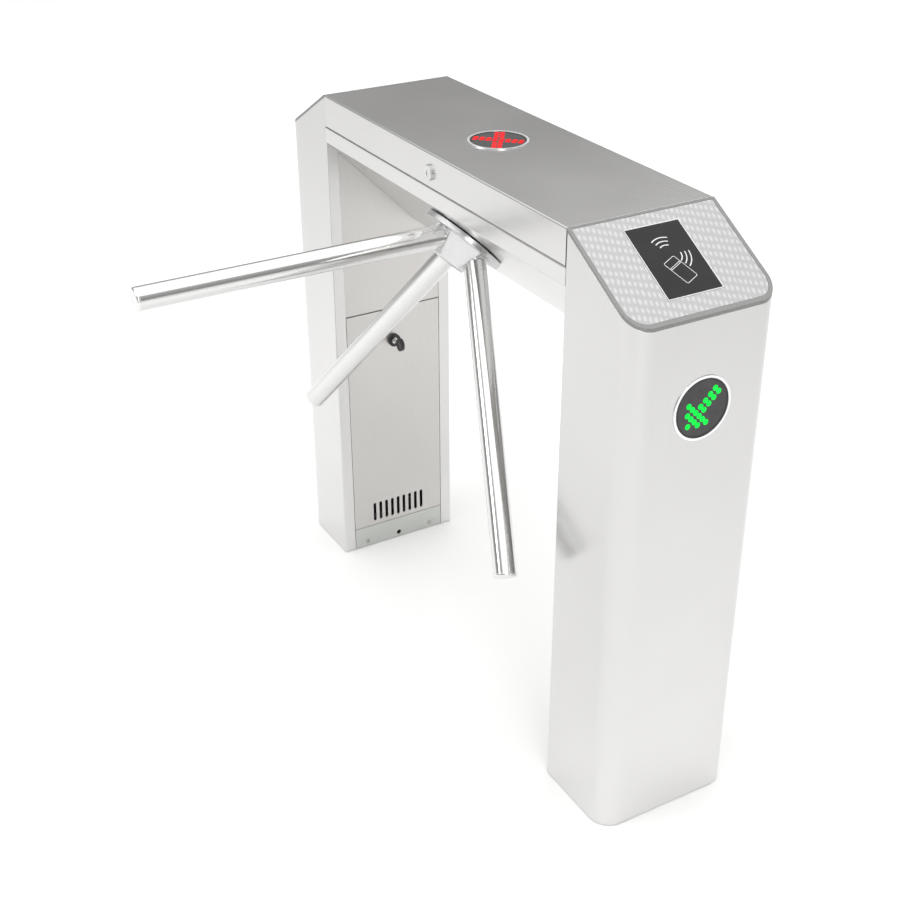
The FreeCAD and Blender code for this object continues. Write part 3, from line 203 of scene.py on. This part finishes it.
def ground_steel(name, stretch, dark, light, smooth, dull, fold=1.6 * mm, top_shade=1.0):
    """Ground stainless: fine scratches drawn out along the grain, shallow waves in the sheet,
    a faint cloudiness and softened folds, and where asked, painted shade towards the top."""
    finish, tree, shader = new_finish(name, smooth, metallic=1.0)
    scratches = grain(tree, 1100, stretch, detail=4.0)
    clouds = grain(tree, 2.6, detail=2.0)
    waves = grain(tree, 3.2, detail=1.0)
    mix = tree.nodes.new("ShaderNodeMix")
    mix.inputs["Factor"].default_value = 0.6
    tree.links.new(scratches, mix.inputs["A"])
    tree.links.new(clouds, mix.inputs["B"])
    blend = mix.outputs["Result"]
    colour = painted_top_shade(tree, tint(tree, blend, dark, light), top_shade)
    tree.links.new(colour, shader.inputs["Base Color"])
    tree.links.new(spread(tree, blend, smooth, dull), shader.inputs["Roughness"])
    sheet = relief(tree, waves, 1.0 * mm, 0.2, soft_edge(tree, fold))
    tree.links.new(relief(tree, scratches, 0.02 * mm, 0.3, sheet), shader.inputs["Normal"])
    return finish


def dress(finish, *names):
    """Gives CAD nodes a finish."""
    for name in names:
        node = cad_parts[name]
        node.data.materials.clear()
        node.data.materials.append(finish)


upright_grain = (1, 1, 0.015)
# The legs carry painted shade: their colour darkens towards the top, under the beam.
leg_steel = ground_steel("leg_steel", upright_grain, (0.7, 0.697, 0.69),
                         (0.78, 0.777, 0.77), 0.2, 0.27, top_shade=0.82)
dress(leg_steel, "leg_shell_entry", "leg_shell_exit")

# Service doors and the fixed panels over them: the same sheet, ground upright.  Each
# door has nine round-ended vents punched in its foot, two hooks below and a lock above.
# Their colour is painted shade and painted reflection: the leg steel made darker and warmer.
door_steel_shaded = ground_steel("door_steel_shaded", upright_grain, (0.58, 0.565, 0.55),
                          (0.66, 0.645, 0.63), 0.3, 0.38)
dress(door_steel_shaded, "leg_door_entry", "leg_door_exit", "leg_panel_entry", "leg_panel_exit")

# Foot plates and kick plates: a thick zinc-grey plate with the anchor holes inside each
# leg, and a dull ground strip under each door, held by two slotted screws.  The screws
# in the arms and in the shaft's flange are the same bare steel.
kick_steel = ground_steel("kick_steel", (0.015, 0.015, 1), (0.55, 0.565, 0.54),
                          (0.66, 0.675, 0.65), 0.34, 0.46)
dress(kick_steel, "kick_plates")
zinc, zinc_tree, zinc_shader = new_finish("foot_zinc", 0.5, metallic=0.7)
zinc_flakes = grain(zinc_tree, 120, detail=2.0)
zinc_tree.links.new(tint(zinc_tree, zinc_flakes, (0.3, 0.31, 0.32), (0.42, 0.43, 0.44)),
                    zinc_shader.inputs["Base Color"])
zinc_tree.links.new(spread(zinc_tree, zinc_flakes, 0.4, 0.6), zinc_shader.inputs["Roughness"])
dress(zinc, "leg_base_entry", "leg_base_exit")
screw_steel = ground_steel("screw_steel", (1, 1, 1), (0.4, 0.4, 0.39), (0.58, 0.58, 0.57),
                           0.2, 0.4, 0.3 * mm)
dress(screw_steel, "kick_plate_screws", "arm_set_screws", "shaft_screws")

# Beam and lid: folded sheet ground along its length.  The lane side is one sheet from
# the lid's seam round the fold and the 45 degree underside to the flat bottom.
long_grain = (0.015, 1, 1)
beam_steel = ground_steel("beam_steel", long_grain, (0.62, 0.617, 0.61),
                          (0.69, 0.687, 0.68), 0.18, 0.26)
dress(beam_steel, "beam_lane_panel", "beam_back_panel")
lid_steel = ground_steel("lid_steel", long_grain, (0.6, 0.597, 0.588),
                         (0.67, 0.667, 0.658), 0.2, 0.28)
dress(lid_steel, "top_lid")

# Piano hinge along the lid's back edge: two rolled steel leaves that take turns on one
# long pin, one leaf fixed to the lid and the other to the beam's back.
hinge_steel = ground_steel("hinge_steel", long_grain, (0.58, 0.58, 0.57),
                           (0.7, 0.7, 0.69), 0.28, 0.4, 0.3 * mm)
dress(hinge_steel, "lid_hinge_lid_leaf", "lid_hinge_back_leaf", "lid_hinge_pin")


# Lid lock: a chromed cam lock set in a hole in the middle of the lid's front, with a
# slot for its key.  The plugs and cams of the door locks have the same chrome.
def polished(name, dark, light, smooth, dull):
    """Bright metal with faint rubbing marks."""
    finish, tree, shader = new_finish(name, smooth, metallic=1.0)
    marks = grain(tree, 500, detail=4.0)
    smears = grain(tree, 14, detail=2.0)
    tree.links.new(tint(tree, marks, dark, light), shader.inputs["Base Color"])
    tree.links.new(spread(tree, smears, smooth, dull), shader.inputs["Roughness"])
    tree.links.new(relief(tree, marks, 0.008 * mm, 0.3, soft_edge(tree, 0.6 * mm)),
                   shader.inputs["Normal"])
    return finish


lock_chrome = polished("lock_chrome", (0.55, 0.55, 0.55), (0.72, 0.72, 0.72), 0.1, 0.2)
dress(lock_chrome, "lid_lock_barrel", "lid_lock_cam", "door_lock_cam_entry",
      "door_lock_cam_exit")


# Door locks: a steel barrel in a hole at the head of each door, under a black moulded
# collar that stands a little proud of the sheet.
def moulded(name, dark, light, smooth, dull):
    """Moulded plastic with a fine spark-eroded skin."""
    finish, tree, shader = new_finish(name, dull)
    pits = grain(tree, 700, detail=2.0)
    patches = grain(tree, 25, detail=2.0)
    tree.links.new(tint(tree, patches, dark, light), shader.inputs["Base Color"])
    tree.links.new(spread(tree, patches, smooth, dull), shader.inputs["Roughness"])
    tree.links.new(relief(tree, pits, 0.02 * mm, 0.5), shader.inputs["Normal"])
    return finish


black_collar = moulded("black_collar", (0.015, 0.015, 0.017), (0.035, 0.035, 0.038),
                       0.3, 0.45)
dress(black_collar, "door_lock_barrel_entry", "door_lock_barrel_exit")


# Key in the exit door: a nickel blade and a black moulded shield bow with a raised rim
# round a sunk middle, and softened edges.
def clear_selection():
    """Leaves edit mode with nothing selected."""
    if bpy.context.object and bpy.context.object.mode == "EDIT":
        bpy.ops.object.mode_set(mode="OBJECT")
    bpy.ops.object.select_all(action="DESELECT")


def only(piece):
    """Selects one object and makes it active."""
    clear_selection()
    piece.select_set(True)
    bpy.context.view_layer.objects.active = piece


def settle(piece):
    """Puts the piece's place into its mesh."""
    only(piece)
    bpy.ops.object.transform_apply(location=True, rotation=True, scale=True)


def outward(piece):
    """Merges doubles and turns every face outwards."""
    only(piece)
    bpy.ops.object.mode_set(mode="EDIT")
    bpy.ops.mesh.select_all(action="SELECT")
    bpy.ops.mesh.remove_doubles(threshold=0.001 * mm)
    bpy.ops.mesh.normals_make_consistent(inside=False)
    bpy.ops.object.mode_set(mode="OBJECT")


def soften(piece, width, segments):
    """Rounds the sharp edges with an applied bevel."""
    only(piece)
    bevel = piece.modifiers.new("soft", "BEVEL")
    bevel.width = width
    bevel.segments = segments
    bevel.limit_method = "ANGLE"
    bpy.ops.object.modifier_apply(modifier=bevel.name)


def join(name, pieces):
    """Joins like pieces into one named mesh."""
    clear_selection()
    for piece in pieces:
        piece.select_set(True)
    bpy.context.view_layer.objects.active = pieces[0]
    if len(pieces) > 1:
        bpy.ops.object.join()
    whole = bpy.context.object
    whole.name = name
    whole.data.name = name
    return whole


def pick_faces(piece, wanted):
    """Selects the faces that a test picks out and goes into edit mode on them."""
    only(piece)
    bpy.ops.object.mode_set(mode="EDIT")
    bpy.ops.mesh.select_mode(type="FACE")
    bpy.ops.mesh.select_all(action="DESELECT")
    bpy.ops.object.mode_set(mode="OBJECT")
    for face in piece.data.polygons:
        face.select = wanted(face)
    bpy.ops.object.mode_set(mode="EDIT")


bow_length = 24 * mm
bow_taper = 0.35
bow_rim = 2.2 * mm
bow_sink = 1.2 * mm
blade_length = 26 * mm
blade_high = 7.4 * mm
blade_thick = 2.0 * mm
key_low, key_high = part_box("door_key")
key_middle = (key_low + key_high) / 2
bow_thick = key_high.y - key_low.y
bow_high = key_high.z - key_low.z
bow_centre = Vector((key_high.x - bow_length / 2, key_middle.y, key_middle.z))
bpy.ops.object.select_all(action="DESELECT")
bpy.ops.mesh.primitive_cylinder_add(vertices=32, radius=0.5, depth=1, location=bow_centre,
                                    rotation=(math.pi / 2, 0, 0))
bow = bpy.context.object
bow.scale = (bow_length, bow_high, bow_thick)
settle(bow)
for spot in bow.data.vertices:
    toward_door = max(0, bow_centre.x - spot.co.x) / (bow_length / 2)
    spot.co.z = bow_centre.z + (spot.co.z - bow_centre.z) * (1 - bow_taper * toward_door ** 2)
pick_faces(bow, lambda face: abs(face.normal.y) > 0.9)
bpy.ops.mesh.inset(thickness=bow_rim)
bpy.ops.mesh.extrude_region_shrink_fatten(TRANSFORM_OT_shrink_fatten={"value": -bow_sink})
bpy.ops.object.mode_set(mode="OBJECT")
soften(bow, 0.8 * mm, 3)
outward(bow)
bpy.ops.object.select_all(action="DESELECT")
bpy.ops.mesh.primitive_cube_add(
    size=1, location=(key_low.x + blade_length / 2, key_middle.y, key_middle.z))
blade = bpy.context.object
blade.scale = (blade_length, blade_thick, blade_high)
settle(blade)
pick_faces(blade, lambda face: abs(face.normal.y) > 0.9)
bpy.ops.mesh.inset(thickness=1.6 * mm)
bpy.ops.mesh.extrude_region_shrink_fatten(TRANSFORM_OT_shrink_fatten={"value": -0.4 * mm})
bpy.ops.object.mode_set(mode="OBJECT")
outward(blade)
key_nickel = polished("key_nickel", (0.55, 0.54, 0.5), (0.72, 0.71, 0.67), 0.18, 0.3)
key_black = moulded("key_black", (0.015, 0.015, 0.017), (0.04, 0.04, 0.042), 0.28, 0.42)
bow.data.materials.append(key_black)
blade.data.materials.append(key_nickel)
shield_key = join("shield_key", [bow, blade])
only(shield_key)
bpy.ops.object.shade_smooth_by_angle(angle=math.radians(40))
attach(shield_key, "door_cam_exit")
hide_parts("door_key")

# Indicator bezels: bright turned rings, each on a sleeve that is pressed into a round
# hole in the sheet.
bezel_silver = polished("bezel_silver", (0.84, 0.85, 0.86), (0.94, 0.94, 0.95), 0.3, 0.4)
dress(bezel_silver, "end_light_bezel_entry", "end_light_bezel_exit", "top_light_bezel")

# Indicator lenses: smoked acrylic, dark enough to hide the boards behind, each with a
# black moulded ring round its edge.
smoke, smoke_tree, smoke_shader = new_finish("smoked_lens", 0.3)
smoke_dust = grain(smoke_tree, 60, detail=3.0)
smoke_tree.links.new(tint(smoke_tree, smoke_dust, (0.045, 0.045, 0.047),
                          (0.065, 0.065, 0.067)), smoke_shader.inputs["Base Color"])
smoke_tree.links.new(spread(smoke_tree, smoke_dust, 0.3, 0.42),
                     smoke_shader.inputs["Roughness"])
smoke_shader.inputs["Specular IOR Level"].default_value = 0.3
dress(smoke, "end_light_lens_entry", "end_light_lens_exit", "top_light_lens")


def face_place(node, axis, side):
    """Turn and place that carry a flat piece, drawn about the origin and facing +Z,
    on to the outer face of a lens."""
    low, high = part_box(node)
    centre = (low + high) / 2
    centre["xyz".index(axis)] = (high if side > 0 else low)["xyz".index(axis)]
    if axis == "z":
        return Matrix.Translation(centre)
    across = Matrix(((0, 0, 1), (1, 0, 0), (0, 1, 0))).to_4x4()
    half_turn = Matrix.Rotation(0 if side > 0 else math.pi, 4, "Z")
    return Matrix.Translation(centre) @ half_turn @ across


lens_low, lens_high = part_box("top_light_lens")
lens_radius = (lens_high.x - lens_low.x) / 2
ring_high = 0.3 * mm
ring_width = 3.0 * mm
crease_angle = math.radians(35)
ring_black = moulded("ring_black", (0.008, 0.008, 0.009), (0.02, 0.02, 0.021), 0.3, 0.5)
light_faces = {"top": ("top_light_lens", "z", 1, "lid"),
               "entry": ("end_light_lens_entry", "x", 1, "cabinet"),
               "exit": ("end_light_lens_exit", "x", -1, "cabinet")}
for light, (lens, axis, side, body) in light_faces.items():
    clear_selection()
    bpy.ops.mesh.primitive_cylinder_add(vertices=96, radius=lens_radius - 0.1 * mm,
                                        depth=ring_high, location=(0, 0, ring_high / 2))
    ring = bpy.context.object
    settle(ring)
    pick_faces(ring, lambda face: abs(face.normal.z) > 0.9)
    bpy.ops.mesh.inset(thickness=ring_width)
    bpy.ops.mesh.bridge_edge_loops()
    bpy.ops.object.mode_set(mode="OBJECT")
    ring.matrix_world = face_place(lens, axis, side)
    settle(ring)
    outward(ring)
    ring.name = f"lens_ring_{light}"
    ring.data.materials.append(ring_black)
    only(ring)
    bpy.ops.object.shade_smooth_by_angle(angle=crease_angle)
    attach(ring, body)


# Light dots: moulded diode caps in rows on the lens, each a low dome with a short
# straight side.  The lid shows a red cross to people coming the wrong way.
cap_high = 0.3 * mm


def diode_rows(name, spots, radius, place):
    """Copies of one cap at flat spots, joined and carried to a face."""
    clear_selection()
    bpy.ops.mesh.primitive_cylinder_add(vertices=14, radius=radius, depth=cap_high,
                                        location=(0, 0, cap_high / 2))
    cap = bpy.context.object
    settle(cap)
    pick_faces(cap, lambda face: face.normal.z > 0.9)
    bpy.ops.mesh.inset(thickness=radius * 0.25)
    bpy.ops.transform.translate(value=(0, 0, 0.2 * mm))
    bpy.ops.mesh.inset(thickness=radius * 0.35)
    bpy.ops.transform.translate(value=(0, 0, 0.08 * mm))
    bpy.ops.object.mode_set(mode="OBJECT")
    caps = []
    for across, up in spots:
        copy = cap.copy()
        copy.data = cap.data.copy()
        bpy.context.scene.collection.objects.link(copy)
        copy.location = (across, up, 0)
        caps.append(copy)
    bpy.data.objects.remove(cap)
    whole = join(name, caps)
    settle(whole)
    whole.matrix_world = place
    settle(whole)
    only(whole)
    bpy.ops.object.shade_smooth_by_angle(angle=crease_angle)
    return whole


def glow(name, colour, strength):
    """Lit diode caps, a little uneven from one to the next."""
    finish, tree, shader = new_finish(name, 0.4)
    patches = grain(tree, 150, detail=1.0)
    dim = tuple(c * 0.8 for c in colour)
    shade = tint(tree, patches, dim, colour)
    tree.links.new(shade, shader.inputs["Base Color"])
    tree.links.new(shade, shader.inputs["Emission Color"])
    shader.inputs["Emission Strength"].default_value = strength
    shader.inputs["Specular IOR Level"].default_value = 0.1
    return finish


def bar_spots(end, count, gap):
    """Two even rows of dots along a bar through the middle."""
    end = Vector(end)
    side = Vector((-end.y, end.x)).normalized() * gap / 2
    rows = []
    for step in range(count):
        along = end * (2 * step / (count - 1) - 1)
        rows += [tuple(along + side), tuple(along - side)]
    return rows


red_glow = glow("red_diode", (0.86, 0.003, 0.005), 0.55)
diode_gap = 9.2 * mm
diode_apart = 6 * mm
cross_count = 8
cross_ends = ((27.5 * mm, 26.5 * mm), (31.5 * mm, -22.5 * mm))
cross_dot = 4.4 * mm
cross_spots = []
for end in cross_ends:
    for spot in bar_spots(end, cross_count, diode_gap):
        if all(math.dist(spot, other) > diode_apart for other in cross_spots):
            cross_spots.append(spot)
top_cross = diode_rows("top_light_cross", cross_spots, cross_dot,
                       face_place(*light_faces["top"][:3]))
top_cross.data.materials.append(red_glow)
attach(top_cross, "lid")

# Entry and exit arrows: green diode caps on each end's lens, a two-wide shaft and a
# tapering head that points down to the lane.
green_glow = glow("green_diode", (0.003, 0.78, 0.06), 0.6)
arrow_step = 11.2 * mm
arrow_dot = 4.6 * mm
arrow_rows = (2, 2, 2, 2, 6, 4, 1)
shaft_way = Vector((-1, -1)).normalized()
row_way = Vector((1, -1)).normalized()
arrow_spots = []
for k, count in enumerate(arrow_rows):
    middle = shaft_way * arrow_step * (k - (len(arrow_rows) - 1) / 2)
    for j in range(count):
        arrow_spots.append(tuple(middle + row_way * diode_gap * (j - (count - 1) / 2)))
for end in ("entry", "exit"):
    lens, axis, side, body = light_faces[end]
    towards_lane = [(across * side, up) for across, up in arrow_spots]
    arrow = diode_rows(f"end_light_arrow_{end}", towards_lane, arrow_dot,
                       face_place(lens, axis, side))
    arrow.data.materials.append(green_glow)
    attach(arrow, body)

# Indicator boards and the controller: green glass-fibre laminate with a fine weave.
# The controller stands on four posts and each small board sits behind its lens.
board, board_tree, board_shader = new_finish("green_laminate", 0.4)
board_weave = grain(board_tree, 900, detail=1.0)
board_tree.links.new(tint(board_tree, board_weave, (0.02, 0.13, 0.05), (0.04, 0.2, 0.09)),
                     board_shader.inputs["Base Color"])
board_tree.links.new(spread(board_tree, board_weave, 0.3, 0.5),
                     board_shader.inputs["Roughness"])
dress(board, "end_light_boards", "top_light_board", "control_board")

# Reader slopes: a satin grey frame with a stepped ledge, round an embossed stainless
# plate that lies on it, and a black acrylic window let into the plate over the reader.
trim_grey, trim_tree, trim_shader = new_finish("trim_grey", 0.36, metallic=0.9)
trim_grit = grain(trim_tree, 500, detail=3.0)
trim_tree.links.new(tint(trim_tree, trim_grit, (0.22, 0.22, 0.217), (0.29, 0.29, 0.286)),
                    trim_shader.inputs["Base Color"])
trim_tree.links.new(spread(trim_tree, trim_grit, 0.3, 0.42), trim_shader.inputs["Roughness"])
trim_tree.links.new(relief(trim_tree, trim_grit, 0.02 * mm, 0.4,
                           soft_edge(trim_tree, 1.2 * mm)), trim_shader.inputs["Normal"])
dress(trim_grey, "reader_trim_entry", "reader_trim_exit")


emboss_turn = 20


def bands(tree, pitch, direction):
    """Even ridges across one direction of the plate, about a pitch apart."""
    place = tree.nodes.new("ShaderNodeTexCoord")
    mapping = tree.nodes.new("ShaderNodeMapping")
    mapping.inputs["Rotation"].default_value = (0, 0, math.radians(emboss_turn))
    wave = tree.nodes.new("ShaderNodeTexWave")
    wave.wave_type = "BANDS"
    wave.bands_direction = direction
    wave.inputs["Scale"].default_value = math.pi / 10 / pitch
    wave.inputs["Distortion"].default_value = 1.2
    wave.inputs["Detail"].default_value = 1.0
    wave.inputs["Detail Scale"].default_value = 2.0
    tree.links.new(place.outputs["Object"], mapping.inputs["Vector"])
    tree.links.new(mapping.outputs["Vector"], wave.inputs["Vector"])
    return wave.outputs["Fac"]


embossed, emb_tree, emb_shader = new_finish("embossed_steel", 0.3, metallic=1.0)
cushions = emb_tree.nodes.new("ShaderNodeMath")
cushions.operation = "MULTIPLY"
emb_tree.links.new(bands(emb_tree, 13 * mm, "X"), cushions.inputs[0])
emb_tree.links.new(bands(emb_tree, 8 * mm, "Y"), cushions.inputs[1])
emb_fine = grain(emb_tree, 600, detail=3.0)
# Painted shade: the plate's colour follows the cushions, darker in the hollows between them.
emb_tree.links.new(tint(emb_tree, cushions.outputs["Value"], (0.4, 0.402, 0.405),
                        (0.52, 0.522, 0.525), 0.0, 0.8), emb_shader.inputs["Base Color"])
emb_tree.links.new(spread(emb_tree, emb_fine, 0.26, 0.38), emb_shader.inputs["Roughness"])
emb_tree.links.new(relief(emb_tree, cushions.outputs["Value"], 0.5 * mm, 0.35),
                   emb_shader.inputs["Normal"])
dress(embossed, "reader_plate_entry", "reader_plate_exit")

window_black, win_tree, win_shader = new_finish("window_black", 0.35)
win_smears = grain(win_tree, 30, detail=3.0)
win_tree.links.new(tint(win_tree, win_smears, (0.01, 0.01, 0.011), (0.02, 0.02, 0.021)),
                   win_shader.inputs["Base Color"])
win_tree.links.new(spread(win_tree, win_smears, 0.3, 0.45), win_shader.inputs["Roughness"])
win_shader.inputs["Specular IOR Level"].default_value = 0.25
dress(window_black, "reader_window_entry", "reader_window_exit")


# Window print: a white edge, two sets of radio-wave arcs and the outline of a card, in
# one raised layer of white ink.  X runs down the slope and Y across it.
ink_high = 0.12 * mm
edge_width = 1.5 * mm
arc_radii = (17 * mm, 24 * mm, 31 * mm)
arc_width = 1.7 * mm
arc_centre = -8 * mm
arc_sweep = 56
arc_turn = 118
card_place = 20 * mm
card_length = 44 * mm
card_width = 26 * mm
card_line = 0.9 * mm
card_turn = 24
card_corner = 3 * mm
stripe_width = 3.4 * mm
stripe_share = 0.86
slope = math.radians(30)


def flat_plate(x, y, length, width):
    """A flat oblong in the plane Z = 0."""
    clear_selection()
    bpy.ops.mesh.primitive_plane_add(size=1, location=(x, y, 0))
    plate = bpy.context.object
    plate.scale = (length, width, 1)
    settle(plate)
    return plate


def ink_outline(plate, width):
    """Leaves a band round a flat plate's edge and raises it to the ink's height."""
    pick_faces(plate, lambda face: True)
    bpy.ops.mesh.inset(thickness=width)
    bpy.ops.mesh.delete(type="FACE")
    bpy.ops.mesh.select_all(action="SELECT")
    bpy.ops.mesh.extrude_region_move(TRANSFORM_OT_translate={"value": (0, 0, ink_high)})
    bpy.ops.object.mode_set(mode="OBJECT")
    return plate


def ink_arc(centre_x, radius, width, start, sweep):
    """Part of a ring, spun clockwise from a small upright oblong."""
    clear_selection()
    bpy.ops.mesh.primitive_plane_add(size=1, location=(radius, 0, ink_high / 2),
                                     rotation=(math.pi / 2, 0, 0))
    arc = bpy.context.object
    arc.scale = (width, ink_high, 1)
    settle(arc)
    arc.rotation_euler = (0, 0, math.radians(start))
    settle(arc)
    only(arc)
    bpy.ops.object.mode_set(mode="EDIT")
    bpy.ops.mesh.select_all(action="SELECT")
    bpy.ops.mesh.spin(steps=14, angle=math.radians(sweep), center=(0, 0, 0),
                      axis=(0, 0, 1))
    bpy.ops.object.mode_set(mode="OBJECT")
    arc.location.x = centre_x
    settle(arc)
    return arc


def ink_card():
    """A round-cornered card outline with a stripe across it."""
    card = flat_plate(0, 0, card_length, card_width)
    only(card)
    bpy.ops.object.mode_set(mode="EDIT")
    bpy.ops.mesh.select_all(action="SELECT")
    bpy.ops.mesh.bevel(offset=card_corner, segments=5, affect="VERTICES")
    bpy.ops.object.mode_set(mode="OBJECT")
    ink_outline(card, card_line)
    band = flat_plate(-card_length / 5, 0, stripe_width, card_width * stripe_share)
    stripe = ink_outline(band, card_line)
    marked = join("card", [card, stripe])
    marked.rotation_euler = (0, 0, math.radians(card_turn))
    marked.location.x = card_place
    settle(marked)
    return marked


ink, ink_tree, ink_shader = new_finish("white_ink", 0.5)
ink_wear = grain(ink_tree, 260, detail=3.0)
ink_tree.links.new(tint(ink_tree, ink_wear, (0.66, 0.67, 0.67), (0.86, 0.87, 0.87)),
                   ink_shader.inputs["Base Color"])
for end, side in (("entry", 1), ("exit", -1)):
    low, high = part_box(f"reader_window_{end}")
    window_across = high.y - low.y
    window_down = (high.x - low.x) / math.cos(slope)
    marks = [ink_outline(flat_plate(0, 0, window_down, window_across), edge_width)]
    for turn in (-1, 1):
        for radius in arc_radii:
            start = arc_turn * turn - arc_sweep / 2
            marks.append(ink_arc(arc_centre, radius, arc_width, start, arc_sweep))
    marks.append(ink_card())
    printed = join(f"window_print_{end}", marks)
    outward(printed)
    normal = Vector((side * math.sin(slope), 0, math.cos(slope)))
    down = Vector((side * math.cos(slope), 0, -math.sin(slope)))
    top_edge = Vector((low.x if side > 0 else high.x, 0, high.z))
    centre = top_edge + down * (window_down / 2) + normal * 0.02 * mm
    slope_turn = Matrix((down, normal.cross(down), normal)).transposed().to_4x4()
    printed.matrix_world = Matrix.Translation(centre) @ slope_turn
    settle(printed)
    printed.data.materials.append(ink)
    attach(printed, "cabinet")

# Card readers: black moulded modules, shut all round, one standing behind each reader
# window.
reader_case = moulded("reader_case", (0.03, 0.03, 0.033), (0.06, 0.06, 0.063), 0.4, 0.6)
dress(reader_case, "card_readers")

# Barrier head: a smooth silver-grey casting, lightly blasted and lacquered, screwed to
# the shaft's flange, with a spigot for each arm.
head_cast, cast_tree, cast_shader = new_finish("head_casting", 0.3, metallic=0.9)
cast_sand = grain(cast_tree, 420, detail=3.0)
cast_wear = grain(cast_tree, 22, detail=3.0)
cast_tree.links.new(tint(cast_tree, cast_wear, (0.62, 0.625, 0.625), (0.72, 0.725, 0.725)),
                    cast_shader.inputs["Base Color"])
cast_tree.links.new(spread(cast_tree, cast_wear, 0.24, 0.36), cast_shader.inputs["Roughness"])
cast_tree.links.new(relief(cast_tree, cast_sand, 0.02 * mm, 0.35,
                           soft_edge(cast_tree, 2 * mm)), cast_shader.inputs["Normal"])
dress(head_cast, "tripod_head")

# Arms: 38 mm polished stainless tube, pushed on to the head's spigots and held by set
# screws, with domed plugs in the tips.
arm_polish = polished("arm_polish", (0.68, 0.68, 0.675), (0.78, 0.78, 0.775), 0.09, 0.15)
dress(arm_polish, "arm_1", "arm_2", "arm_3")
plug_polish = polished("plug_polish", (0.72, 0.72, 0.72), (0.84, 0.84, 0.84), 0.2, 0.3)
dress(plug_polish, "arm_end_plugs")

# Shaft, bearings, shaft gear, lock wheel, pawls and plungers: turned and milled steel
# with a film of oil, screwed and pressed together inside the beam.
turned_steel = polished("turned_steel", (0.36, 0.35, 0.34), (0.52, 0.51, 0.5), 0.22, 0.4)
dress(turned_steel, "main_shaft", "shaft_bearings", "lock_wheel", "damper_gear",
      "lock_pawl_entry", "lock_pawl_exit", "solenoid_plunger_entry", "solenoid_plunger_exit")

# Damper pinion: a white moulded gear pressed on to the damper's stem, in mesh with the
# gear on the shaft.
pinion_white = moulded("pinion_white", (0.7, 0.69, 0.64), (0.82, 0.81, 0.76), 0.35, 0.5)
dress(pinion_white, "damper_pinion")

# Damper can and solenoids: an oil-filled can on the mechanism's plate, and two coils
# wrapped in black tape beside it.
coil_wrap = moulded("coil_wrap", (0.03, 0.03, 0.035), (0.07, 0.07, 0.075), 0.35, 0.55)
dress(coil_wrap, "lock_solenoids", "rotary_damper")

# Mechanism frame: steel plate welded up with two webs down to the beam's floor, powder
# coated dark grey with an orange-peel surface.
powder, powder_tree, powder_shader = new_finish("dark_powder", 0.5)
peel = grain(powder_tree, 320, detail=2.0)
powder_tree.links.new(tint(powder_tree, peel, (0.05, 0.055, 0.065), (0.09, 0.095, 0.11)),
                      powder_shader.inputs["Base Color"])
powder_tree.links.new(spread(powder_tree, peel, 0.4, 0.6), powder_shader.inputs["Roughness"])
powder_tree.links.new(relief(powder_tree, peel, 0.1 * mm, 0.3), powder_shader.inputs["Normal"])
dress(powder, "mechanism_frame")

# Bearing housing and power supply cage: cast and pressed aluminium, left bare.  The
# housing is flanged to the mechanism's plate.
cast_alu = ground_steel("cast_aluminium", (1, 1, 1), (0.5, 0.5, 0.51), (0.66, 0.66, 0.67),
                        0.4, 0.55, 0.8 * mm)
dress(cast_alu, "bearing_housing", "power_supply")
